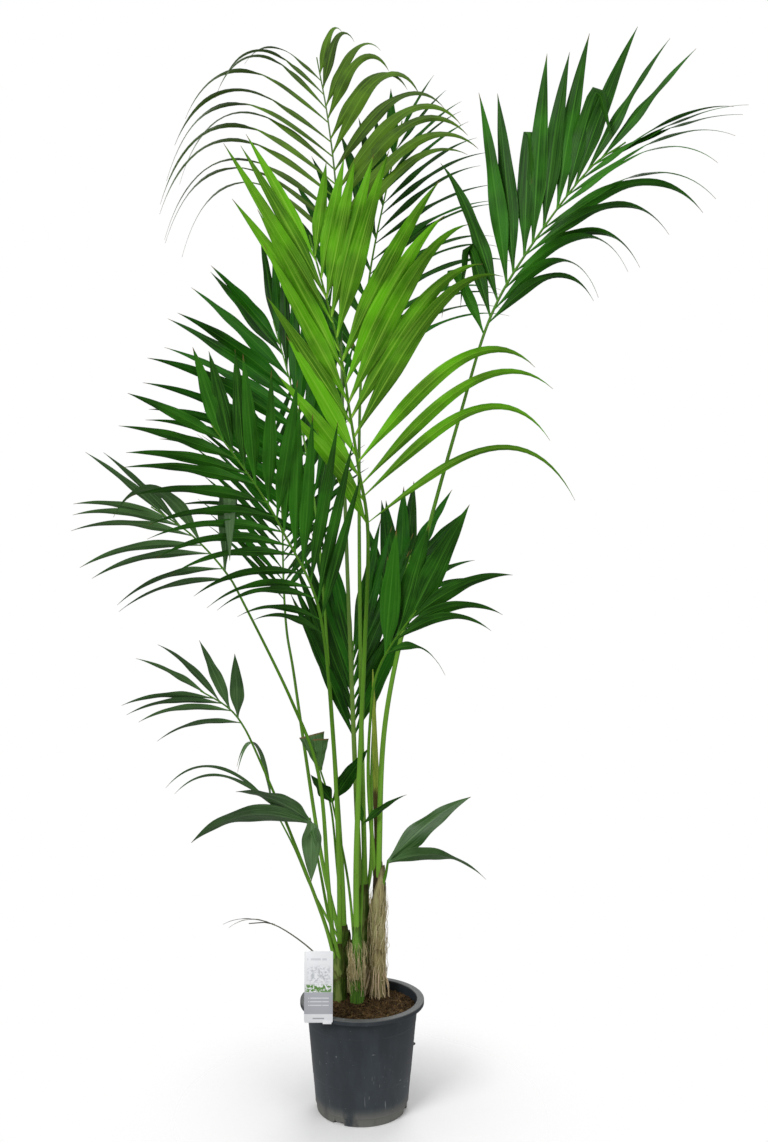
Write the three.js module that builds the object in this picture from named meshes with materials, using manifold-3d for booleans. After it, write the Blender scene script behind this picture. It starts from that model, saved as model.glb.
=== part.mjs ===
/*
 * Potted kentia palm in a round plastic nursery pot.
 *
 * Millimetres, +Z up. The origin is the middle of the pot's base, where the pot stands.
 * The front of the plant faces -Y, and +X is its right-hand side.
 *
 * Five slim stems stand in one pot, as the palm is sold. A stem is a bundle of old leaf bases,
 * and the stalks of its fronds sit in sockets in its top. A frond is one body: its stalk runs on
 * as the midrib, and a row of leaflets grows along each side of the midrib.
 */

import * as THREE from 'three';
import { mergeVertices } from 'three/addons/utils/BufferGeometryUtils.js';
import Module from 'manifold-3d';

const wasm = await Module();
wasm.setup();

// Pot
const POT_HEIGHT = 176;
const POT_RIM_RADIUS = 105;
const POT_WALL_TOP_RADIUS = 94.5;
const POT_BASE_RADIUS = 77;
const POT_FOOT_HEIGHT = 14;
const POT_FOOT_STEP = 1.5;
const POT_WALL = 1.8;
const POT_FLOOR = 2.5;
const LIP_SKIRT = 7;
const LIP_ROUND = 1.2;
const NOTCH_ANGLES = [-29, 73, 151, 241];
const NOTCH_WIDTH = 19;
const NOTCH_HEIGHT = 8;
const NOTCH_DEPTH = 16;
const NUB_HEIGHT = 100;
const NUB_RADIUS = 2.4;
const ROUND_SEGMENTS = 48;

// Soil
const SOIL_EDGE_HEIGHT = 162;
const SOIL_MOUND = 5;
const SOIL_LUMP = 1.2;
const SOIL_RINGS = [0.3, 0.55, 0.8, 1];

// Plant label: a card outside the rim with a tongue that hooks over it into the soil
const LABEL_WIDTH = 46;
const LABEL_HEIGHT = 110;
const LABEL_THICKNESS = 0.8;
const LABEL_PLACE = [-68, -98, 172];
const LABEL_LEAN = 0.05;
const TONGUE_WIDTH = 14;
const TONGUE_LIFT = 7;
const TONGUE_SHIFT = 14;
const TONGUE_REACH = 38;
const TONGUE_DROP = 45;

// Shared by everything that grows
const GAP = 0.35;
const STEM_FOOT_HEIGHT = 120;
const STEM_SIDES = 10;
const STEM_STEPS = 6;
const STALK_SIDES = 6;
const STALK_STEP = 90;
const SPRAY_STEPS = 14;
const LEAFLET_RINGS = [0, 4, 9];
const LEAFLET_HALF_THICKNESS = 0.7;
const LAST_ROOT = 0.985;
const SMALLEST_OVERLAP = 0.002;
const SLIVER = 0.004;
const TURNS = [0, 5, -5, 10, -10, 16, -16, 22, -22];
const SHORTENINGS = [1, 0.85, 0.7, 0.5];

const LEAF_GREEN = '#2f6b2c';
const DEEP_GREEN = '#1d5128';
const FRESH_GREEN = '#6fae2c';
const OLIVE_GREEN = '#5d8430';
const STEM_GREEN = '#5b7a35';
const STRAW = '#b9a06c';

const STEMS = [
  { name: 'stem_back', foot: [3, 60], top: [0, 62, 350], radius: [13, 10.5], colour: STEM_GREEN },
  { name: 'stem_front', foot: [-8, 5], top: [-10, 3, 300], radius: [11, 7.5], colour: STEM_GREEN },
  { name: 'stem_left', foot: [-38, 25], top: [-44, 18, 260], radius: [12.5, 10], colour: STEM_GREEN },
  { name: 'stem_back_left', foot: [-28, 55], top: [-36, 57, 280], radius: [12, 9.8], colour: STEM_GREEN },
  { name: 'stem_right', foot: [25, 40], top: [27, 33, 395], radius: [12, 8.6], colour: STRAW },
];

/*
 * Fronds. `stations` are points along the stalk and midrib, from the socket to the tip.
 * `blade` is the share of that length where the leaflets start, and `right` points across the
 * frond to its right-hand leaflets. Along each row, from the stalk to the tip, `angle` is the
 * angle between leaflet and midrib and `lift` its rise out of the frond's plane, in degrees;
 * `droop` is how far its tip bends down, growing as the `power` of the way along the leaflet,
 * and `flat` is how far the blade untwists from the frond's plane to level.
 */
const FRONDS = [
  {
    name: 'frond_crown', stem: 'stem_back', colour: OLIVE_GREEN, radius: [3.6, 0.9],
    stations: [[-4.5, 58.5, 325], [-20, 60, 675], [-35, 80, 1040], [-45, 110, 1370], [-55, 150, 1635],
      [-75, 180, 1820], [-100, 200, 1965]],
    blade: 0.73, right: [1, 0, -0.1],
    rows: {
      left: { count: 12, angle: [44, 44, 40, 34, 34], length: [430, 480, 440, 350, 150],
        width: [20, 24, 22, 14], droop: [3.2, 3.6, 3.4, 2.6, 1.6], power: 2.5, lift: 5, flat: 0.9 },
      right: { count: 11, angle: [38, 38, 34, 28, 20], length: [340, 370, 300, 210, 125],
        width: [26, 32, 28, 19], droop: [1, 1.5, 1.6, 1.5, 1.4], power: 2.4, lift: 10, flat: 0.1 },
    },
  },
  {
    name: 'frond_high_back', stem: 'stem_back', colour: DEEP_GREEN, radius: [3.6, 0.9],
    stations: [[4, 58, 325], [-5, 90, 670], [-10, 130, 1010], [-10, 180, 1250], [0, 220, 1445],
      [20, 240, 1600], [75, 270, 1870]],
    blade: 0.61, right: [1, 0.1, 0.2],
    rows: {
      left: { count: 9, angle: [40, 38, 32, 22, 10], length: [290, 300, 250, 180, 130],
        width: [34, 46, 40, 26], droop: [0.1], lift: 10 },
      right: { count: 18, angle: [46, 44, 40, 30, 15], length: [330, 320, 300, 240, 150],
        width: [16, 20, 16, 10], droop: [0.9, 0.8, 0.6, 0.3], lift: 10 },
    },
  },
  {
    name: 'frond_bright', stem: 'stem_front', colour: FRESH_GREEN, radius: [4, 1],
    stations: [[-10, 0, 275], [-10, 0, 425], [0, -20, 680], [10, -60, 950], [-5, -90, 1065],
      [-20, -120, 1160], [-35, -160, 1250], [-80, -215, 1415]],
    blade: 0.585, right: [1, 0, 0.1],
    rows: {
      left: { count: 11, angle: [26, 25, 22, 20, 10], length: [180, 210, 290, 290, 190],
        width: [26, 32, 28, 20], droop: [0.1], flat: 0.1 },
      right: { count: 14, angle: [60, 48, 36, 30, 22], length: [420, 400, 340, 260, 130],
        width: [12, 24, 36, 36, 32, 22], droop: [2.2, 1.5, 0.8, 0.2, 0.1], power: 3, flat: 0.1 },
    },
  },
  {
    name: 'frond_right_high', stem: 'stem_right', colour: LEAF_GREEN, radius: [3.8, 1],
    stations: [[27, 28, 370], [40, 10, 645], [100, -20, 920], [170, -50, 1175], [220, -70, 1335],
      [285, -100, 1445], [375, -130, 1560], [435, -150, 1600]],
    blade: 0.71, right: [0.6, -0.3, -0.75],
    rows: {
      left: { count: 13, angle: [44, 38, 32, 24, 10], length: [200, 310, 290, 260, 200],
        width: [24, 38, 34, 22], droop: [0.9, 0.4, 0.4, 0.2], power: 2 },
      right: { count: 12, angle: [30, 28, 26, 20, 12], length: [230, 270, 300, 280, 210],
        width: [20, 24, 20], droop: [2.6, 2.6, 2, 1, 0.4], power: 2.4, flat: 0.8 },
    },
  },
  {
    name: 'frond_left_mid', stem: 'stem_left', colour: LEAF_GREEN, radius: [3.4, 0.9],
    stations: [[-39.5, 21, 235], [-41, 10, 400], [-50, -20, 610], [-70, -90, 830], [-125, -140, 955],
      [-165, -180, 1025], [-230, -215, 1115]],
    blade: 0.585, right: [0.8, 0.1, 0.6],
    rows: {
      left: { count: 14, angle: [48, 50, 48, 40, 22], length: [150, 200, 230, 210, 140],
        width: [14, 18, 22, 22], droop: [1, 0.8, 0.4, 0.2] },
      right: { count: 12, angle: [26, 30, 32, 30, 20], length: [260, 260, 230, 190, 130],
        width: [20, 26, 26, 30], droop: [0, 0, 0.1] },
    },
  },
  {
    name: 'frond_left_high', stem: 'stem_back_left', colour: DEEP_GREEN, radius: [3.4, 0.9],
    stations: [[-32, 54, 255], [-40, 60, 410], [-60, 80, 675], [-85, 110, 970], [-115, 130, 1160],
      [-150, 150, 1300], [-180, 165, 1405]],
    blade: 0.6, right: [0.9, -0.1, 0.4],
    rows: {
      left: { count: 13, angle: [50, 48, 42, 30, 15], length: [300, 330, 330, 270, 200],
        width: [18, 30, 36, 32], droop: [0.7, 0.5, 0.3, 0.1] },
      right: { count: 12, angle: [24, 22, 20, 16, 10], length: [260, 300, 290, 240, 200],
        width: [18, 26, 28, 22], droop: [0.2, 0.1, 0.1] },
    },
  },
  {
    name: 'frond_left_low', stem: 'stem_left', colour: LEAF_GREEN, radius: [3.1, 0.9],
    stations: [[-49, 21, 235], [-60, 20, 365], [-75, -10, 550], [-120, -40, 680], [-195, -80, 840],
      [-225, -100, 895], [-280, -110, 955], [-345, -115, 1000]],
    blade: 0.79, right: [0.5, -0.3, 0.8],
    rows: {
      left: { count: 7, angle: [60, 48, 36, 15, 8], length: [180, 190, 200, 170, 160],
        width: [14, 18, 16], droop: [1, 0.7, 0.3] },
      right: { count: 4, angle: [48, 30, 15, 5], length: [260, 250, 180, 160], width: [34, 34, 20, 14],
        droop: [0, 3, 0.2, 0.2] },
    },
  },
  {
    name: 'frond_back_left', stem: 'stem_back_left', colour: DEEP_GREEN, radius: [3, 0.8],
    stations: [[-40, 60, 255], [-75, 90, 385], [-110, 120, 580], [-135, 150, 725], [-150, 170, 800],
      [-160, 200, 900], [-170, 240, 1060], [-195, 270, 1210]],
    blade: 0.63, right: [1, 0.2, 0.1],
    rows: {
      left: { count: 16, angle: [42, 42, 38, 25], length: [220, 240, 230, 170], width: [14, 18, 14],
        droop: [0.3] },
      right: { count: 16, angle: [42, 42, 38, 25], length: [120, 220, 230, 170], width: [14, 18, 14],
        droop: [0.3] },
    },
  },
  {
    name: 'frond_low_left', stem: 'stem_left', colour: LEAF_GREEN, radius: [2.6, 0.9],
    stations: [[-47.5, 13, 235], [-68, 0, 310], [-125, -50, 475], [-170, -80, 590], [-195, -95, 645],
      [-220, -105, 675], [-260, -115, 700]],
    blade: 0.83, right: [0.4, -0.3, 0.8],
    rows: {
      left: { count: 4, angle: [50, 35, 25, 15], length: [140, 150, 160, 140], width: [14, 16, 14],
        droop: [1, 0.8, 0.3] },
      right: { count: 4, angle: [50, 30, 25, 8], length: [120, 130, 140, 120], width: [26, 26, 16, 14],
        droop: [0, 0, 0.5, 0.3] },
    },
  },
  {
    name: 'frond_low_thin', stem: 'stem_back_left', colour: LEAF_GREEN, radius: [1.8, 1],
    stations: [[-41, 52, 255], [-90, 70, 335], [-125, 80, 410], [-170, 90, 490]],
    blade: 0.96, right: [0.2, -0.3, 1],
    rows: {
      left: { count: 2, angle: [15, 25], length: [230, 220], width: [12, 10], droop: [1.4, 1.6] },
      right: { count: 2, angle: [25, 35], length: [240, 210], width: [10], droop: [1.6, 1.5] },
    },
  },
  {
    name: 'frond_low_broad', stem: 'stem_left', colour: LEAF_GREEN, radius: [2.4, 1.2],
    stations: [[-39.5, 12.5, 235], [-57, -12, 315], [-70, -45, 400], [-85, -75, 490]],
    blade: 0.96, right: [1, -0.2, 0.2],
    rows: {
      left: { count: 2, angle: [62, 30], length: [230, 100], width: [46, 40], droop: [1.5, 0.2] },
      right: { count: 2, angle: [50, 100], length: [130, 60], width: [52, 14], droop: [2.5, 0.2],
        lift: 70, flat: 0.9 },
    },
  },
  {
    name: 'frond_front_right', stem: 'stem_right', colour: LEAF_GREEN, radius: [3, 1],
    stations: [[21.5, 34.5, 370], [10, 0, 540], [15, -30, 665], [25, -50, 725], [50, -80, 775],
      [90, -110, 830]],
    blade: 0.78, right: [0.7, -0.3, -0.6],
    rows: {
      left: { count: 4, angle: [20, 28, 16, 10], length: [260, 150, 230, 200], width: [46, 30, 50, 38],
        droop: [0, 0.2, 0.1] },
      right: { count: 4, angle: [30, 22, 20, 8], length: [130, 220, 210, 200], width: [16, 18, 22, 30],
        droop: [1.6, 1.2, 1, 0.6] },
    },
  },
  {
    name: 'frond_right_low', stem: 'stem_right', colour: LEAF_GREEN, radius: [2.4, 1.4],
    stations: [[33, 33, 350], [40, 24, 375], [44, 20, 400]],
    blade: 0.9, right: [1, -0.2, 0],
    rows: {
      left: { count: 1, angle: [-34], length: [175], width: [42], droop: [0.4] },
      right: { count: 1, angle: [54], length: [195], width: [36], droop: [1.1] },
    },
  },
  {
    name: 'frond_inner_back', stem: 'stem_back', colour: DEEP_GREEN, radius: [2.8, 1],
    stations: [[-4, 66, 325], [-10, 71, 380], [-15, 80, 570], [-20, 90, 670], [-20, 110, 780]],
    blade: 0.6, right: [1, 0, 0.1],
    rows: {
      left: { count: 9, angle: [20, 22, 20, 10], length: [260, 280, 280, 240], width: [26, 32, 30],
        droop: [0.1] },
      right: { count: 9, angle: [25, 30, 26, 10], length: [240, 280, 280, 240], width: [30, 34, 30],
        droop: [0.1] },
    },
  },
  {
    name: 'frond_right_back', stem: 'stem_back', colour: DEEP_GREEN, radius: [2.8, 1],
    stations: [[4.5, 66, 325], [14, 76, 390], [15, 110, 560], [25, 150, 705], [55, 200, 840],
      [90, 230, 950]],
    blade: 0.78, right: [1, 0, 0.2],
    rows: {
      left: { count: 5, angle: [25, 25, 15, 8], length: [200, 220, 200, 180], width: [34, 38, 32],
        droop: [0.2, 0.2, 0.1] },
      right: { count: 5, angle: [44, 35, 25, 10], length: [190, 190, 180, 170], width: [14, 26, 36, 32],
        droop: [1, 0.5, 0.2, 0.1] },
    },
  },
  {
    name: 'leaf_small_cut', stem: 'stem_back_left', colour: LEAF_GREEN, radius: [2, 1.2],
    stations: [[-32, 62, 255], [-45, 69, 360], [-58, 72, 480], [-80, 75, 555]],
    blade: 0.96, right: [1, 0, 0.2],
    rows: {
      left: { count: 1, angle: [-8], length: [66], width: [50], droop: [0] },
      right: { count: 1, angle: [20], length: [58], width: [30], droop: [0] },
    },
  },
  {
    name: 'leaf_small_middle', stem: 'stem_front', colour: DEEP_GREEN, radius: [1.9, 1.2],
    stations: [[-15, 8.5, 275], [-22, 20, 340], [-32, 27, 400], [-55, 30, 505]],
    blade: 0.96, right: [0.8, 0, 0.6],
    rows: {
      left: { count: 1, angle: [25], length: [60], width: [30], droop: [0] },
      right: { count: 1, angle: [45], length: [110], width: [34], droop: [0] },
    },
  },
  {
    name: 'leaf_small_right', stem: 'stem_front', colour: LEAF_GREEN, radius: [1.9, 1.2],
    stations: [[-4, 7, 275], [0, 12, 370], [0, 10, 470]],
    blade: 0.96, right: [1, 0, 0],
    rows: {
      left: { count: 1, angle: [10], length: [60], width: [14], droop: [0] },
      right: { count: 1, angle: [50], length: [95], width: [16], droop: [0.4] },
    },
  },
  {
    name: 'spear_leaf', stem: 'stem_right', colour: FRESH_GREEN, radius: [3.4, 4.4, 3.8, 0.6],
    stations: [[29, 39, 370], [25, 40, 480], [20, 38, 625], [17, 34, 730]],
  },
  {
    name: 'withered_leaf', stem: 'stem_left', colour: STRAW, radius: [1.3, 0.7],
    stations: [[-43, 20, 195], [-87, 0, 255], [-150, -10, 300], [-192, -15, 303]],
    blade: 0.6, right: [0, -1, 0.4],
    rows: {
      left: { count: 1, angle: [12], length: [90], width: [10], droop: [0.9] },
      right: { count: 1, angle: [14], length: [80], width: [10], droop: [1.2] },
    },
  },
];

/* A repeatable number from -1 to 1 that looks random. */
function jitter(index, seed) {
  const wave = Math.sin(index * 12.9898 + seed * 78.233) * 43758.5453;
  return 2 * (wave - Math.floor(wave)) - 1;
}

/* The value at `share` (0 to 1) along evenly spaced values, with straight lines between them. */
function along(share, values) {
  const list = Array.isArray(values) ? values : [values];
  const place = THREE.MathUtils.clamp(share, 0, 1) * (list.length - 1);
  const before = Math.floor(place);
  const after = Math.min(before + 1, list.length - 1);
  return THREE.MathUtils.lerp(list[before], list[after], place - before);
}

/* The part of `vector` that is square to the unit vector `axis`, as a unit vector. */
function squareTo(vector, axis) {
  return vector.clone().addScaledVector(axis, -vector.dot(axis)).normalize();
}

/* Six times the volume that the triangles enclose; it is positive when they face outwards. */
function signedVolume(points, triangles) {
  let sum = 0;
  for (let i = 0; i < triangles.length; i += 3) {
    const [a, b, c] = [points[triangles[i]], points[triangles[i + 1]], points[triangles[i + 2]]];
    sum += a.dot(b.clone().cross(c));
  }
  return sum;
}

/* A solid from shared points and triangles, turned to face outwards. */
function solidFrom(points, triangles) {
  const triVerts = Uint32Array.from(triangles);
  if (signedVolume(points, triangles) < 0) {
    triVerts.reverse();
  }
  const vertProperties = Float32Array.from(points.flatMap((point) => point.toArray()));
  return new wasm.Manifold(new wasm.Mesh({ numProp: 3, vertProperties, triVerts }));
}

/* A solid from a closed three.js geometry whose seams are doubled. */
function solidFromGeometry(geometry) {
  geometry.deleteAttribute('normal');
  geometry.deleteAttribute('uv');
  const merged = mergeVertices(geometry, 1e-3);
  const place = merged.getAttribute('position');
  const pointAt = (_, i) => new THREE.Vector3().fromBufferAttribute(place, i);
  const points = Array.from({ length: place.count }, pointAt);
  const triangles = [];
  for (let i = 0; i < merged.index.count; i += 3) {
    const corner = [0, 1, 2].map((k) => merged.index.getX(i + k));
    if (new Set(corner).size === 3) {
      triangles.push(...corner);
    }
  }
  return solidFrom(points, triangles);
}

/*
 * A solid through rings of equally many points; it ends on the last ring or on the point `tip`.
 * Each four-sided face is split across. With `mirrored`, the splits of a ring's second half lean
 * the other way, so that the two sides of a thin twisted blade stay clear of each other.
 */
function loft(rings, tip, mirrored) {
  const sides = rings[0].length;
  const points = rings.flat();
  const triangles = [];
  for (let k = 1; k < sides - 1; k += 1) {
    triangles.push(0, k + 1, k);
  }
  for (let ring = 0; ring < rings.length - 1; ring += 1) {
    for (let k = 0; k < sides; k += 1) {
      const a = ring * sides + k;
      const b = ring * sides + ((k + 1) % sides);
      if (mirrored && k >= sides / 2) {
        triangles.push(a, b, b + sides, a, b + sides, a + sides);
      } else {
        triangles.push(a, b, a + sides, b, b + sides, a + sides);
      }
    }
  }
  const last = (rings.length - 1) * sides;
  if (tip) {
    points.push(tip);
    for (let k = 0; k < sides; k += 1) {
      triangles.push(last + k, last + ((k + 1) % sides), points.length - 1);
    }
  } else {
    for (let k = 1; k < sides - 1; k += 1) {
      triangles.push(last, last + k, last + k + 1);
    }
  }
  return solidFrom(points, triangles);
}

/* A round shape, standing on +Z, from half its outline, given as [radius, height] pairs. */
function turned(outline) {
  const profile = outline.map(([radius, height]) => new THREE.Vector2(radius, height));
  const geometry = new THREE.LatheGeometry(profile, ROUND_SEGMENTS);
  geometry.rotateX(Math.PI / 2);
  return geometry;
}

/* A box from its size and the place of its middle, turned about the origin's upright axis. */
function turnedBox(size, middle, turn) {
  const geometry = new THREE.BoxGeometry(...size);
  geometry.translate(...middle);
  geometry.rotateZ(turn);
  return solidFromGeometry(geometry);
}

/* A round tube of straight steps along a curve; `radiusAt` gives its radius at each share. */
function tubeAlong(curve, steps, sides, radiusAt, right) {
  const rings = [];
  for (let step = 0; step <= steps; step += 1) {
    const share = step / steps;
    const middle = curve.getPointAt(share);
    const forward = curve.getTangentAt(share);
    const across = squareTo(right, forward);
    const up = across.clone().cross(forward);
    const ring = [];
    for (let k = 0; k < sides; k += 1) {
      const turn = (k / sides) * 2 * Math.PI;
      ring.push(middle.clone()
        .addScaledVector(across, radiusAt(share) * Math.cos(turn))
        .addScaledVector(up, radiusAt(share) * Math.sin(turn)));
    }
    rings.push(ring);
  }
  return loft(rings);
}

/* The pot's outer radius at a height above the foot. */
function potWallRadius(height) {
  const share = (height - POT_FOOT_HEIGHT) / (POT_HEIGHT - POT_FOOT_HEIGHT);
  return THREE.MathUtils.lerp(POT_BASE_RADIUS + POT_FOOT_STEP, POT_WALL_TOP_RADIUS, share);
}

/* Pot: floor, stepped foot, tapered wall and a lip that turns out and down. */
function potSolid() {
  const inside = potWallRadius(POT_HEIGHT) - POT_WALL;
  const skirt = POT_HEIGHT - LIP_SKIRT;
  const shell = solidFromGeometry(turned([
    [0, 0],
    [POT_BASE_RADIUS - POT_FOOT_STEP, 0],
    [POT_BASE_RADIUS, POT_FOOT_HEIGHT - POT_FOOT_STEP],
    [potWallRadius(POT_FOOT_HEIGHT), POT_FOOT_HEIGHT],
    [potWallRadius(POT_HEIGHT - POT_WALL), POT_HEIGHT - POT_WALL],
    [POT_RIM_RADIUS - POT_WALL, POT_HEIGHT - POT_WALL],
    [POT_RIM_RADIUS - POT_WALL, skirt],
    [POT_RIM_RADIUS, skirt],
    [POT_RIM_RADIUS, POT_HEIGHT - LIP_ROUND],
    [POT_RIM_RADIUS - LIP_ROUND, POT_HEIGHT],
    [inside + LIP_ROUND, POT_HEIGHT],
    [inside, POT_HEIGHT - LIP_ROUND],
    [potWallRadius(POT_FOOT_HEIGHT) - POT_WALL, POT_FOOT_HEIGHT],
    [POT_BASE_RADIUS - POT_FOOT_STEP - POT_WALL, POT_FLOOR],
    [0, POT_FLOOR],
  ]));
  const nub = new THREE.SphereGeometry(NUB_RADIUS, 8, 6);
  nub.translate(potWallRadius(NUB_HEIGHT) + NUB_RADIUS / 2, 0, NUB_HEIGHT);
  return NOTCH_ANGLES.reduce((pot, angle) => {
    const size = [NOTCH_WIDTH, NOTCH_DEPTH, 2 * NOTCH_HEIGHT];
    return pot.subtract(turnedBox(size, [0, -POT_BASE_RADIUS, 0], THREE.MathUtils.degToRad(angle)));
  }, shell.add(solidFromGeometry(nub)));
}

/* Soil: fills the pot to just below the rim, with a low lumpy mound, and lets the stems in. */
function soilSolid(sockets) {
  const outline = [
    [0, POT_FLOOR + GAP],
    [POT_BASE_RADIUS - POT_FOOT_STEP - POT_WALL - GAP, POT_FLOOR + GAP],
    [potWallRadius(POT_FOOT_HEIGHT) - POT_WALL - GAP, POT_FOOT_HEIGHT],
  ];
  const edge = potWallRadius(SOIL_EDGE_HEIGHT) - POT_WALL - GAP;
  for (const share of SOIL_RINGS.toReversed()) {
    outline.push([edge * share, SOIL_EDGE_HEIGHT + SOIL_MOUND * (1 - share * share)]);
  }
  outline.push([0, SOIL_EDGE_HEIGHT + SOIL_MOUND]);
  const mound = turned(outline);
  const place = mound.getAttribute('position');
  for (let i = 0; i < place.count; i += 1) {
    if (place.getZ(i) >= SOIL_EDGE_HEIGHT) {
      const lump = Math.sin(place.getX(i) * 0.21) * Math.cos(place.getY(i) * 0.17 + 1);
      place.setZ(i, place.getZ(i) + SOIL_LUMP * lump);
    }
  }
  return sockets.reduce((soil, socket) => soil.subtract(socket), solidFromGeometry(mound));
}

/* Plant label: a thin card and, behind it, a narrow tongue bent down into the soil. */
function labelSolid() {
  const half = LABEL_WIDTH / 2;
  const card = new THREE.Shape([
    new THREE.Vector2(-half, 0),
    new THREE.Vector2(half, 0),
    new THREE.Vector2(half, LABEL_HEIGHT),
    new THREE.Vector2(-half, LABEL_HEIGHT),
  ]);
  const sheet = new THREE.ExtrudeGeometry(card, { depth: LABEL_THICKNESS, bevelEnabled: false });
  sheet.rotateX(Math.PI / 2 - LABEL_LEAN);
  sheet.translate(...LABEL_PLACE);
  const inner = TONGUE_LIFT - LABEL_THICKNESS;
  const hook = new THREE.Shape([
    new THREE.Vector2(-LABEL_THICKNESS / 2, inner),
    new THREE.Vector2(TONGUE_REACH - LABEL_THICKNESS, inner),
    new THREE.Vector2(TONGUE_REACH - LABEL_THICKNESS, inner - TONGUE_DROP),
    new THREE.Vector2(TONGUE_REACH, inner - TONGUE_DROP),
    new THREE.Vector2(TONGUE_REACH, TONGUE_LIFT),
    new THREE.Vector2(-LABEL_THICKNESS / 2, TONGUE_LIFT),
  ]);
  const tongue = new THREE.ExtrudeGeometry(hook, { depth: TONGUE_WIDTH, bevelEnabled: false });
  tongue.rotateX(Math.PI / 2);
  tongue.rotateZ(Math.PI / 2);
  tongue.translate(LABEL_PLACE[0] + TONGUE_SHIFT - TONGUE_WIDTH / 2, LABEL_PLACE[1], LABEL_PLACE[2]);
  return solidFromGeometry(sheet).add(solidFromGeometry(tongue));
}

/* Stem: a tapered bundle, wider at its foot in the soil, with `extra` added all round. */
function stemSolid(stem, extra) {
  const foot = new THREE.Vector3(...stem.foot, STEM_FOOT_HEIGHT);
  const curve = new THREE.LineCurve3(foot, new THREE.Vector3(...stem.top));
  const radiusAt = (share) => along(share, stem.radius) * (1 + 0.06 * Math.cos(share * 9)) + extra;
  return tubeAlong(curve, STEM_STEPS, STEM_SIDES, radiusAt, new THREE.Vector3(1, 0, 0));
}

/* The smooth line of a frond's stalk and midrib. */
function midrib(frond) {
  const points = frond.stations.map((station) => new THREE.Vector3(...station));
  return new THREE.CatmullRomCurve3(points, false, 'catmullrom', 0.5);
}

/* The number of straight steps in a frond's stalk and midrib. */
function stalkSteps(curve) {
  return Math.max(3, Math.round(curve.getLength() / STALK_STEP));
}

/* A point on the straight steps of the midrib, so that a leaflet always grows from its inside. */
function pointOnSteps(curve, share) {
  const place = share * stalkSteps(curve);
  const before = Math.min(Math.floor(place), stalkSteps(curve) - 1);
  const start = curve.getPointAt(before / stalkSteps(curve));
  return start.lerp(curve.getPointAt((before + 1) / stalkSteps(curve)), place - before);
}

/* Stalk and midrib, tapering from the socket to the tip, with `extra` added all round. */
function stalkSolid(frond, extra) {
  const curve = midrib(frond);
  const right = new THREE.Vector3(...(frond.right ?? [1, 0, 0]));
  const radiusAt = (share) => along(share, frond.radius) + extra;
  return tubeAlong(curve, stalkSteps(curve), STALK_SIDES, radiusAt, right);
}

/* Half the width of a leaflet at a share of its length, as a share of its greatest half-width. */
function leafletSwell(share) {
  const rise = THREE.MathUtils.smoothstep(share, 0, 0.38);
  return (0.12 + 0.88 * rise) * Math.max(0, 1 - share ** 2.6) ** 1.1;
}

/*
 * What is true of one leaflet before it bends: its root, first direction and sizes. `level` is
 * the level direction across it, about which it bends down, and `twist` is the angle from there
 * to the frond's plane, where the blade starts.
 */
function leafletStart(frond, curve, side, index, turn) {
  const row = side < 0 ? frond.rows.left : frond.rows.right;
  const wobble = 0.25 * jitter(index + 7 * side, frond.seed);
  const share = row.count > 1 ? (index + 0.5 + 0.25 * side + wobble) / row.count : 0.5 + wobble;
  const place = THREE.MathUtils.lerp(frond.blade, LAST_ROOT, share);
  const forward = curve.getTangentAt(place);
  const across = squareTo(new THREE.Vector3(...frond.right), forward);
  const face = across.clone().cross(forward);
  const tilt = jitter(index * 3 + 1 + side, frond.seed);
  const bend = jitter(index * 3 + 2 + side, frond.seed);
  const size = jitter(index * 3 + 3 + side, frond.seed);
  const angle = THREE.MathUtils.degToRad(along(share, row.angle) + 4 * tilt + turn);
  const lift = THREE.MathUtils.degToRad(along(share, row.lift ?? 15) + 4 * bend + turn / 2);
  const aim = forward.clone().multiplyScalar(Math.cos(angle))
    .addScaledVector(across, side * Math.sin(angle) * Math.cos(lift))
    .addScaledVector(face, Math.sin(angle) * Math.sin(lift));
  const blade = face.clone().cross(aim).normalize();
  const level = new THREE.Vector3(0, 0, 1).cross(aim).normalize();
  level.multiplyScalar(Math.sign(blade.dot(level)) || 1);
  return {
    root: pointOnSteps(curve, place),
    aim,
    level,
    twist: Math.atan2(blade.dot(aim.clone().cross(level)), blade.dot(level)),
    flat: row.flat ?? 0.4,
    length: along(share, row.length) * (1 + 0.06 * size),
    width: along(share, row.width),
    droop: along(share, row.droop) * (1 + 0.15 * bend),
    power: row.power ?? 1.6,
  };
}

/*
 * A leaflet: a thin four-sided blade, ridged above and below, that bends down to its tip and
 * untwists towards level by its share `flat`. Without `rooted` it lacks its narrow foot, which
 * sits among the other feet in the midrib.
 */
function leafletSolid(start, shortening, rooted) {
  const step = (start.length * shortening) / SPRAY_STEPS;
  const place = start.root.clone();
  const rings = [];
  for (let k = 0; k < SPRAY_STEPS; k += 1) {
    const share = (k + 0.5) / SPRAY_STEPS;
    const heading = start.aim.clone();
    heading.z -= start.droop * share ** start.power;
    heading.normalize();
    if (LEAFLET_RINGS.includes(k) && (rooted || k > 0)) {
      const settled = start.flat * THREE.MathUtils.smoothstep(k / SPRAY_STEPS, 0, 0.6);
      const turn = start.twist * (1 - settled);
      const across = start.level.clone().multiplyScalar(Math.cos(turn))
        .addScaledVector(heading.clone().cross(start.level), Math.sin(turn));
      const face = heading.clone().cross(across);
      const half = (start.width / 2) * leafletSwell(k / SPRAY_STEPS);
      rings.push([
        place.clone().addScaledVector(across, half),
        place.clone().addScaledVector(face, LEAFLET_HALF_THICKNESS),
        place.clone().addScaledVector(across, -half),
        place.clone().addScaledVector(face, -LEAFLET_HALF_THICKNESS),
      ]);
    }
    place.addScaledVector(heading, step);
  }
  return loft(rings, place, true);
}

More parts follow.
